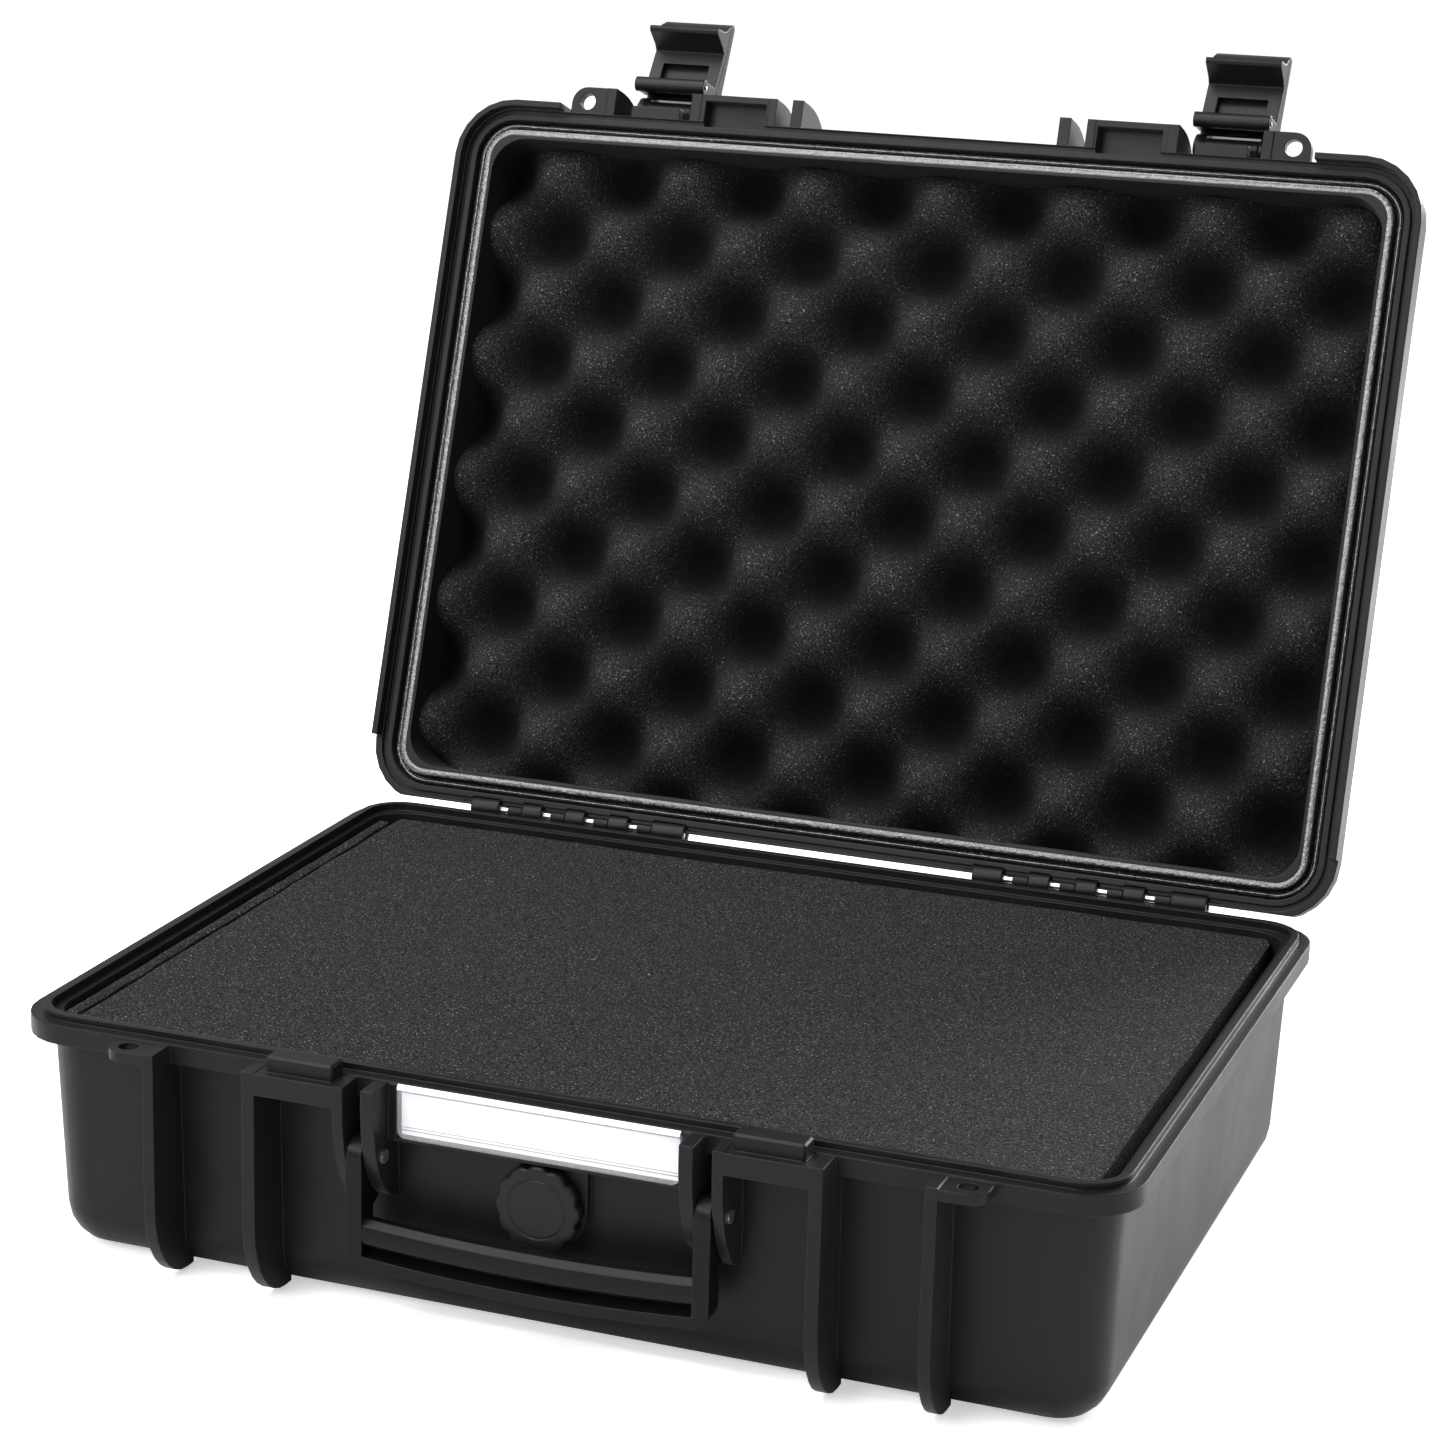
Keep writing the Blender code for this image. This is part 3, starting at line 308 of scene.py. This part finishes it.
def smooth_group(name, sharp_from):
    """Geometry nodes that shade rounded faces smooth and keep hard edges sharp."""
    group = bpy.data.node_groups.new(name, "GeometryNodeTree")
    group.interface.new_socket("Geometry", in_out="INPUT", socket_type="NodeSocketGeometry")
    group.interface.new_socket("Geometry", in_out="OUTPUT", socket_type="NodeSocketGeometry")

    def add(kind, **settings):
        node = group.nodes.new(kind)
        for key, value in settings.items():
            setattr(node, key, value)
        return node

    source, sink = add("NodeGroupInput"), add("NodeGroupOutput")
    plain = add("GeometryNodeRemoveAttribute")
    plain.inputs["Name"].default_value = "custom_normal"
    merge = add("GeometryNodeMergeByDistance")
    merge.inputs["Distance"].default_value = 0.000002
    angle = add("GeometryNodeInputMeshEdgeAngle")
    hard = add("FunctionNodeCompare", data_type="FLOAT", operation="GREATER_THAN")
    hard.inputs["B"].default_value = sharp_from
    faces = add("GeometryNodeSetShadeSmooth", domain="FACE")
    faces.inputs["Shade Smooth"].default_value = True
    edges = add("GeometryNodeSetShadeSmooth", domain="EDGE")
    edges.inputs["Shade Smooth"].default_value = False
    for first, second in ((source, plain), (plain, merge), (merge, faces), (faces, edges),
                          (edges, sink)):
        group.links.new(first.outputs[0], second.inputs[0])
    group.links.new(angle.outputs["Unsigned Angle"], hard.inputs["A"])
    group.links.new(hard.outputs[0], edges.inputs["Selection"])
    return group


SMOOTH = smooth_group("smooth_faces", math.radians(32))
LOOKS = {"case_plastic": CASE, "latch_plastic": LATCH, "pin_steel": STEEL,
         "seal_rubber": SEAL, "base_foam": BASE_FOAM, "lid_foam": LID_FOAM,
         "label_card": CARD, "label_cover": CLEAR}
for part in frame["record"]["subparts"]:
    dressed = NODES[part["node"]]
    look = GRIP if part["node"] == "handle" else LOOKS[part["material_slot"]]
    dressed.data.materials.clear()
    dressed.data.materials.append(look)
    shade = dressed.modifiers.new("Smooth", "NODES")
    shade.node_group = SMOOTH
    weigh = dressed.modifiers.new("Weigh", "WEIGHTED_NORMAL")
    weigh.keep_sharp = True


# ---------------------------------------------------------------- geometry

def new_piece(name, bm, material, body, matrix=None):
    """Makes an object of a bmesh, gives it its look, and has it ride on a body."""
    bmesh.ops.recalc_face_normals(bm, faces=bm.faces)
    mesh = bpy.data.meshes.new(name)
    bm.to_mesh(mesh)
    bm.free()
    if matrix:
        mesh.transform(matrix)
    mesh.shade_smooth()
    mesh.set_sharp_from_angle(angle=math.radians(50))
    mesh.materials.append(material)
    piece = bpy.data.objects.new(name, mesh)
    bpy.context.scene.collection.objects.link(piece)
    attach(piece, body)
    return piece


def bridge(bm, first, second):
    """Faces between two closed rings of vertices."""
    for i in range(len(first)):
        k = (i + 1) % len(first)
        bm.faces.new((first[i], first[k], second[k], second[i]))


def round_corner(x, y, half_x, half_y, radius):
    """Moves a point of a rectangular grid so that the grid's corners become round."""
    u = (abs(x) - (half_x - radius)) / radius
    v = (abs(y) - (half_y - radius)) / radius
    if u <= 0 or v <= 0:
        return x, y
    round_u = u * math.sqrt(1 - v * v / 2)
    round_v = v * math.sqrt(1 - u * u / 2)
    return (math.copysign(half_x - radius + round_u * radius, x),
            math.copysign(half_y - radius + round_v * radius, y))


FOAM_SIDE_ROWS = 6


def foam_block(half_x, half_y, corner, pitch, surface, floor, draft):
    """A closed block under a height function, its far face narrower by draft."""
    columns = round(2 * half_x / pitch)
    rows = round(2 * half_y / pitch)
    bm = bmesh.new()
    top = []
    for j in range(rows + 1):
        line = []
        for i in range(columns + 1):
            x = -half_x + 2 * half_x * i / columns
            y = -half_y + 2 * half_y * j / rows
            x, y = round_corner(x, y, half_x, half_y, corner)
            line.append(bm.verts.new((x, y, surface(x, y))))
        top.append(line)
    for j in range(rows):
        for i in range(columns):
            bm.faces.new((top[j][i], top[j][i + 1], top[j + 1][i + 1], top[j + 1][i]))
    ring = top[0][:-1] + [line[-1] for line in top[:-1]]
    ring += top[-1][:0:-1] + [line[0] for line in top[:0:-1]]
    border = [v.co.copy() for v in ring]
    for row in range(1, FOAM_SIDE_ROWS + 1):
        share = row / FOAM_SIDE_ROWS
        lower = []
        for place in border:
            x = place.x * (1 - draft / half_x * share)
            y = place.y * (1 - draft / half_y * share)
            lower.append(bm.verts.new((x, y, place.z + (floor - place.z) * share)))
        bridge(bm, ring, lower)
        ring = lower
    bm.faces.new(ring)
    return bm


FOAM_PITCH = 0.0020             # grid of the large foam surfaces

# Egg-crate foam in the lid, modelled with the lid closed: its peaks point down.
CRATE_HALF_PERIOD = (0.0286, 0.0269)
CRATE_PEAK_AT = (0.0356, 0.0092)
CRATE_CORNER = 0.0150
CRATE_DRAFT = 0.0026
CRATE_CLEAR = 0.0006            # the peaks stay this far inside the foam's space
CRATE_SHARPEN = 0.85            # below 1 widens the peaks' and valleys' flanks
CRATE_ROUGHNESS = 0.0005
low, high = closed_box("lid_foam")


def crate_surface(x, y):
    across = math.cos(math.pi * (x - CRATE_PEAK_AT[0]) / CRATE_HALF_PERIOD[0])
    along = math.cos(math.pi * (y - CRATE_PEAK_AT[1]) / CRATE_HALF_PERIOD[1])
    wave = across * along
    depth = CRATE_DEPTH * (0.5 - 0.5 * math.copysign(abs(wave) ** CRATE_SHARPEN, wave))
    rough = CRATE_ROUGHNESS * noise.noise(Vector((x, y, 0.3)) * 70)
    return low.z + CRATE_CLEAR + depth + rough


crate = foam_block(high.x, high.y, CRATE_CORNER, FOAM_PITCH, crate_surface, high.z, CRATE_DRAFT)
crate = new_piece("egg_crate_foam", crate, LID_FOAM, "lid", OPEN_LID)
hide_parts("lid_foam")

# Foam in the base: a thick top block on a pad.
SLAB_CORNER = 0.007
SLAB_DRAFT = 0.0015
SLAB_SINK = 0.0006              # the slab's top lies this far below its space's
SLAB_EDGE = (0.0016, 0.0018)    # drop of the worn border, and how fast it fades inwards
CUT_DEPTH = 0.0009
CUT_WIDTH = 0.0014
low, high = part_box("base_foam_pluck")
rng = random.Random(7)
CUTS = [(rng.uniform(-0.02, 0.05), rng.uniform(-0.03, 0.03), rng.uniform(0, math.pi),
         rng.uniform(0.004, 0.011)) for _ in range(7)]
DENTS = [(rng.uniform(-0.95, 0.75) * high.x, -high.y + rng.uniform(0.007, 0.016),
          rng.uniform(0.003, 0.006), rng.uniform(0.0005, 0.0011)) for _ in range(12)]
DENTS += [(-high.x + rng.uniform(0.006, 0.014), rng.uniform(-0.9, 0.9) * high.y,
           rng.uniform(0.003, 0.007), rng.uniform(0.0005, 0.0012)) for _ in range(7)]


def cut_depth(x, y):
    """Short knife marks near the middle of the slab, and dents along two edges."""
    depth = 0.0
    for cx, cy, turn, half in CUTS:
        along = (x - cx) * math.cos(turn) + (y - cy) * math.sin(turn)
        off = -(x - cx) * math.sin(turn) + (y - cy) * math.cos(turn)
        if abs(along) < half:
            groove = CUT_DEPTH * math.exp(-(off / CUT_WIDTH) ** 2)
            depth = max(depth, groove * (1 - abs(along) / half))
    for cx, cy, radius, deep in DENTS:
        away = math.hypot(x - cx, y - cy) / radius
        if away < 3:
            depth = max(depth, deep * math.exp(-away * away))
    return depth


def uneven(place, level):
    """A level foam top with broad and small unevenness."""
    return level + 0.0003 * noise.noise(place * 18) + 0.0002 * noise.noise(place * 60)


def slab_surface(x, y):
    place = Vector((x, y, 0.7))
    drop, fade = SLAB_EDGE
    rim = min(high.x - abs(x), high.y - abs(y))
    edge = drop * math.exp(-rim / fade) * (0.8 + 0.5 * noise.noise(place * 45))
    return uneven(place, high.z - SLAB_SINK) - max(edge, 0.0) - cut_depth(x, y)


def carve_box(piece, size, centre):
    """Cuts a box out of a piece's mesh."""
    box = bmesh.new()
    bmesh.ops.create_cube(box, size=1.0)
    bmesh.ops.scale(box, vec=size, verts=box.verts)
    bmesh.ops.translate(box, vec=centre, verts=box.verts)
    mesh = bpy.data.meshes.new("carving_box")
    box.to_mesh(mesh)
    box.free()
    tool = bpy.data.objects.new("carving_box", mesh)
    bpy.context.scene.collection.objects.link(tool)
    cut = piece.modifiers.new("Cut", "BOOLEAN")
    cut.object = tool
    cut.operation = "DIFFERENCE"
    deps = bpy.context.evaluated_depsgraph_get()
    carved = bpy.data.meshes.new_from_object(piece.evaluated_get(deps))
    piece.modifiers.clear()
    piece.data = carved
    bpy.data.objects.remove(tool)


slab = foam_block(high.x, high.y, SLAB_CORNER, FOAM_PITCH, slab_surface, low.z, SLAB_DRAFT)
slab = new_piece("base_foam_block", slab, BASE_FOAM, "base")

# A notch in the slab's front clears the valve's nut; it runs out through the underside.
NUT_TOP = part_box("valve_nut")[1].z
NOTCH_CLEAR = 0.004
NOTCH_Y = -0.1430
NOTCH = (0.0230, 0.0260, NUT_TOP - low.z + 2 * NOTCH_CLEAR)
carve_box(slab, NOTCH, (0, NOTCH_Y, low.z - NOTCH_CLEAR + NOTCH[2] / 2))
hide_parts("base_foam_pluck")

# A strip of the same foam fills the left side, with a knife cut between it and the slab.
STRIP_HALF = (0.00245, 0.1300)
STRIP_CORNER = 0.0022
STRIP_PITCH = 0.0010
STRIP_DRAFT = 0.0008
STRIP_GAP = 0.00075             # width of the cut
STRIP_DEPTH = 0.0270
STRIP_SINK = 0.0005
STRIP_EDGE = (0.0009, 0.0007)   # drop of the border, and how fast it fades inwards
STRIP_WAVER = 0.0006            # how far the cut strays from straight


def strip_surface(x, y):
    drop, fade = STRIP_EDGE
    rim = min(STRIP_HALF[0] - abs(x), STRIP_HALF[1] - abs(y))
    return uneven(Vector((x, y, 1.9)), high.z - STRIP_SINK) - drop * math.exp(-rim / fade)


strip = foam_block(*STRIP_HALF, STRIP_CORNER, STRIP_PITCH, strip_surface,
                   high.z - STRIP_DEPTH, STRIP_DRAFT)
for vert in strip.verts:
    if vert.co.x > 0:
        vert.co.x += STRIP_WAVER * noise.noise(Vector((0.4, vert.co.y * 55, 0.0)))
strip = new_piece("base_foam_edge_strip", strip, BASE_FOAM, "base",
                  Matrix.Translation((low.x - STRIP_GAP - STRIP_HALF[0], 0, 0)))

# The pad under the slab.
PAD_SHY = 0.002
PAD_SINK = 0.0004
PAD_CORNER = 0.0145
PAD_PITCH = 0.0060
PAD_DRAFT = 0.0105
pad_low, pad_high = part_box("base_foam_pad")


def pad_surface(x, y):
    return pad_high.z - PAD_SINK + 0.0003 * noise.noise(Vector((x, y, 0.2)) * 30)


pad = foam_block(pad_high.x - PAD_SHY, pad_high.y - PAD_SHY, PAD_CORNER, PAD_PITCH,
                 pad_surface, pad_low.z, PAD_DRAFT)
pad = new_piece("base_foam_under_pad", pad, BASE_FOAM, "base")
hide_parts("base_foam_pad")


# The lid's seal: a crowned, slightly wavy strip round the groove.
low, high = closed_box("lid_gasket")
SEAL_WIDTH = 0.0034
SEAL_CORNER = 0.0165
SEAL_SHY = 0.0001               # clearance to each side of its groove
SEAL_RISE = 0.0003
SEAL_RIPPLE = 0.00018
PATH_STEP = 0.003
PATH_TURN_STEPS = 14            # steps in each rounded corner


def rounded_path(half_x, half_y, radius):
    """Points round a rounded rectangle, each with the direction that faces outwards."""
    points = []
    corners = ((1, 1, 0), (-1, 1, 90), (-1, -1, 180), (1, -1, 270))
    for sx, sy, start in corners:
        centre = (sx * (half_x - radius), sy * (half_y - radius))
        for i in range(PATH_TURN_STEPS + 1):
            t = math.radians(start + 90 * i / PATH_TURN_STEPS)
            points.append((centre[0] + radius * math.cos(t), centre[1] + radius * math.sin(t),
                           math.cos(t), math.sin(t)))
    path = []
    for i, here in enumerate(points):
        there = points[(i + 1) % len(points)]
        gap = math.hypot(there[0] - here[0], there[1] - here[1])
        count = max(1, round(gap / PATH_STEP))
        for k in range(count):
            share = k / count
            path.append(tuple(a + (b - a) * share for a, b in zip(here, there)))
    return path


def rim_strip(outer_x, outer_y, corner, width, z_range, section, ripple):
    """A closed strip round the lid's rim; section gives (share of width, share of height)."""
    bm = bmesh.new()
    path = rounded_path(outer_x - width / 2, outer_y - width / 2, corner - width / 2)
    bottom, top = z_range
    rings = []
    for x, y, nx, ny in path:
        wave = ripple * noise.noise(Vector((x, y, 0)) * 160)
        ring = []
        for across, rise in section:
            lift = wave if rise < 0.9 else 0.0
            z = bottom + rise * (top - bottom) + lift
            ring.append(bm.verts.new((x + nx * across * width, y + ny * across * width, z)))
        rings.append(ring)
    for i, ring in enumerate(rings):
        bridge(bm, ring, rings[(i + 1) % len(rings)])
    return bm


SEAL_SECTION = [(-0.5, 1.0), (-0.5, 0.30), (-0.40, 0.10), (-0.22, 0.02), (-0.06, 0.16),
                (0.08, 0.16), (0.24, 0.0), (0.42, 0.08), (0.5, 0.30), (0.5, 1.0)]
seal = rim_strip(high.x - SEAL_SHY, high.y - SEAL_SHY, SEAL_CORNER, SEAL_WIDTH - 2 * SEAL_SHY,
                 (low.z + SEAL_RISE, high.z), SEAL_SECTION, SEAL_RIPPLE)
seal = new_piece("lid_seal_strip", seal, SEAL, "lid", OPEN_LID)
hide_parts("lid_gasket")

# The polished face of the lid's inner lip, just inside the seal.
LIP_INSET = 0.0040
LIP_WIDTH = 0.0023
LIP_DROP = 0.0025               # the lip's face lies this far below the seal's lowest point
LIP_SKIN = 0.00012              # how far the polished face stands off the lip
LIP_SINK = 0.0001               # how far it reaches into the lip
LIP_RIPPLE = 0.00003
LIP_SECTION = [(-0.5, 1.0), (-0.5, 0.5), (-0.42, 0.1), (-0.2, 0.0), (0.2, 0.0), (0.42, 0.1),
               (0.5, 0.5), (0.5, 1.0)]
face = low.z - LIP_DROP
lip = rim_strip(high.x - LIP_INSET, high.y - LIP_INSET, SEAL_CORNER - LIP_INSET, LIP_WIDTH,
                (face - LIP_SKIN, face + LIP_SINK), LIP_SECTION, LIP_RIPPLE)
new_piece("lid_lip_face", lip, LIP, "lid", OPEN_LID)

# The valve's knob, with scallops and a ring groove in its face.
low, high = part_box("valve_knob")
KNOB_AT = Vector(KNOB["pos_m"])
KNOB_RADIUS = high.x
KNOB_BACK = 0.0046              # from the joint's place to the back of the knob
SCALLOPS = 12
SCALLOP_STEPS = 12
SCALLOP_DEPTH = 0.0011
SCALLOP_FROM = 0.85             # share of the radius where the scallops begin


def knob_mesh():
    bm = bmesh.new()
    steps = SCALLOPS * SCALLOP_STEPS
    front, back = low.y, KNOB_AT.y + KNOB_BACK
    # (share of the radius, depth behind the face)
    profile = [(0.15, 0.0), (0.40, 0.0), (0.655, 0.0), (0.668, 0.0003), (0.690, 0.0003),
               (0.703, 0.0), (0.88, 0.0), (0.95, 0.00018), (0.985, 0.0006), (1.0, 0.0013),
               (1.0, 0.0026), (1.0, back - front - 0.0004), (0.975, back - front)]
    rings = []
    for share, depth in profile:
        ring = []
        for i in range(steps):
            turn = math.tau * i / steps
            dip = (0.5 - 0.5 * math.cos(SCALLOPS * turn)) ** 3
            weight = max(0.0, (share - SCALLOP_FROM) / (1 - SCALLOP_FROM))
            radius = KNOB_RADIUS * share - SCALLOP_DEPTH * dip * weight
            ring.append(bm.verts.new((radius * math.cos(turn), front + depth,
                                      KNOB_AT.z + radius * math.sin(turn))))
        rings.append(ring)
    for first, second in zip(rings, rings[1:]):
        bridge(bm, first, second)
    bm.faces.new(rings[0])
    bm.faces.new(rings[-1])
    return bm


knob = new_piece("valve_knob_cap", knob_mesh(), LATCH, "knob")
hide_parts("valve_knob")


# The label's clear window: a plate with round lower corners and a bevelled front edge.
WINDOW_TOP_RADIUS = 0.0010
WINDOW_LOW_RADIUS = 0.0030
WINDOW_TURN_STEPS = 6
low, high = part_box("label_cover")


def window_mesh():
    bm = bmesh.new()
    rings = []
    # (inset of the outline, depth), from the back to the bevelled front edge
    for inset, y in ((0.0, high.y), (0.0, low.y + 0.0005), (0.00015, low.y + 0.0002),
                     (0.0005, low.y)):
        ring = []
        for sx, sz, start in ((1, 1, 0), (-1, 1, 90), (-1, -1, 180), (1, -1, 270)):
            radius = WINDOW_TOP_RADIUS if sz > 0 else WINDOW_LOW_RADIUS
            reach = radius - inset
            middle_x = (high.x - radius) * sx
            middle_z = high.z - radius if sz > 0 else low.z + radius
            for i in range(WINDOW_TURN_STEPS + 1):
                turn = math.radians(start + 90 * i / WINDOW_TURN_STEPS)
                ring.append(bm.verts.new((middle_x + reach * math.cos(turn), y,
                                          middle_z + reach * math.sin(turn))))
        rings.append(ring)
    for first, second in zip(rings, rings[1:]):
        bridge(bm, first, second)
    bm.faces.new(rings[0])
    bm.faces.new(rings[-1])
    return bm


window = new_piece("label_window", window_mesh(), CLEAR, "base")
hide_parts("label_cover")

# The window's bevelled top edge, which leans on the flange above the card; its nearly opaque pale plastic is a
# painted highlight.
EDGE_SECTION = [(-0.00155, -0.0009), (-0.00165, -0.0004), (-0.00125, 0.0004),
                (-0.0009, 0.0006), (-0.0006, 0.0010), (-0.00035, 0.0010), (-0.00035, 0.0002),
                (-0.00135, 0.0001), (-0.00135, -0.0009)]
FLANGE_Y = -0.14885
EDGE_SHY = 0.0002               # the edge ends this far short of the window's sides
edge = bmesh.new()
ends = [[edge.verts.new((x, FLANGE_Y + y, high.z + z)) for y, z in EDGE_SECTION]
        for x in (-high.x + EDGE_SHY, high.x - EDGE_SHY)]
bridge(edge, *ends)
for end in ends:
    edge.faces.new(end)
new_piece("label_window_edge", edge, EDGE_HIGHLIGHT_PLASTIC, "base")


# ---------------------------------------------------------------- stage

def area_light(name, place, target, size, power):
    """A soft rectangle of light, aimed at a target and hidden from the camera."""
    light = bpy.data.lights.new(name, "AREA")
    light.shape = "RECTANGLE"
    light.size, light.size_y = size
    light.energy = power
    lamp = bpy.data.objects.new(name, light)
    bpy.context.scene.collection.objects.link(lamp)
    lamp.location = place
    lamp.visible_camera = False
    lamp.rotation_euler = (Vector(target) - Vector(place)).to_track_quat("-Z", "Y").to_euler()


FLOOR_SIZE = 6.0
FLOOR_DROP = 0.0005             # the floor lies just below the case
FLOOR_GLOW = 0.50               # added for the camera's rays only, so the ground looks white
AMBIENT = 0.58


def pale_floor():
    bm = bmesh.new()
    bmesh.ops.create_grid(bm, x_segments=1, y_segments=1, size=FLOOR_SIZE)
    mesh = bpy.data.meshes.new("floor")
    bm.to_mesh(mesh)
    bm.free()
    floor = bpy.data.objects.new("floor", mesh)
    floor.location.z = -FLOOR_DROP
    bpy.context.scene.collection.objects.link(floor)
    pale = Nodes("floor_look")
    tint = pale.mix(pale.noise(3.0), (0.90, 0.90, 0.90), (0.93, 0.93, 0.93))
    glow = pale.add("ShaderNodeLightPath").outputs["Is Camera Ray"]
    pale.shader.inputs["Emission Color"].default_value = (1.0, 1.0, 1.0, 1.0)
    pale.link(pale.math("MULTIPLY", glow, FLOOR_GLOW), pale.shader.inputs["Emission Strength"])
    mesh.materials.append(pale.finish(tint, 0.9))
    return floor


def studio_world():
    """Even, slightly cool ambient light; the camera's own rays see plain white."""
    world = bpy.data.worlds.new("studio")
    bpy.context.scene.world = world
    world.use_nodes = True
    tree = world.node_tree
    tree.nodes.clear()
    path = tree.nodes.new("ShaderNodeLightPath")
    seen = tree.nodes.new("ShaderNodeBackground")
    seen.inputs["Color"].default_value = (1, 1, 1, 1)
    seen.inputs["Strength"].default_value = 1.0
    lit = tree.nodes.new("ShaderNodeBackground")
    lit.inputs["Color"].default_value = (0.95, 0.97, 1.0, 1)
    lit.inputs["Strength"].default_value = AMBIENT
    blend = tree.nodes.new("ShaderNodeMixShader")
    output = tree.nodes.new("ShaderNodeOutputWorld")
    tree.links.new(path.outputs["Is Camera Ray"], blend.inputs["Fac"])
    tree.links.new(lit.outputs[0], blend.inputs[1])
    tree.links.new(seen.outputs[0], blend.inputs[2])
    tree.links.new(blend.outputs[0], output.inputs["Surface"])


pale_floor()
studio_world()
MIDDLE = (0.0, 0.0, 0.12)
area_light("key_softbox", (-0.6, -0.4, 1.8), MIDDLE, (1.5, 1.3), 42)
area_light("back_softbox", (0.9, 2.0, 0.9), (0.3, 0.3, 0.0), (1.2, 0.9), 75)
area_light("rim_softbox", (-0.58, -1.50, 1.07), (0.0, 0.2, 0.25), (0.95, 0.75), 20)
bpy.context.scene.view_settings.view_transform = "Standard"

# Camera: the view of the reference picture. BACK points from the case to the camera.
CAMERA_AT = (0.4457, -1.1927, 0.5397)
CAMERA_ROLL = math.radians(1.57)
CAMERA_LENS = 89.81
SENSOR_WIDTH = 36.0
BACK = Vector((0.33225, -0.90449, 0.26742))
RIGHT = Vector((0.93868, 0.34481, 0.0))
up = BACK.cross(RIGHT)
rolled_right = math.cos(CAMERA_ROLL) * RIGHT + math.sin(CAMERA_ROLL) * up
rolled_up = -math.sin(CAMERA_ROLL) * RIGHT + math.cos(CAMERA_ROLL) * up
turn = Matrix((rolled_right, rolled_up, BACK)).transposed().to_4x4()
lens = bpy.data.cameras.new("camera")
lens.sensor_width = SENSOR_WIDTH
lens.lens = CAMERA_LENS
camera = bpy.data.objects.new("camera", lens)
bpy.context.scene.collection.objects.link(camera)
camera.matrix_world = Matrix.Translation(CAMERA_AT) @ turn
bpy.context.scene.camera = camera
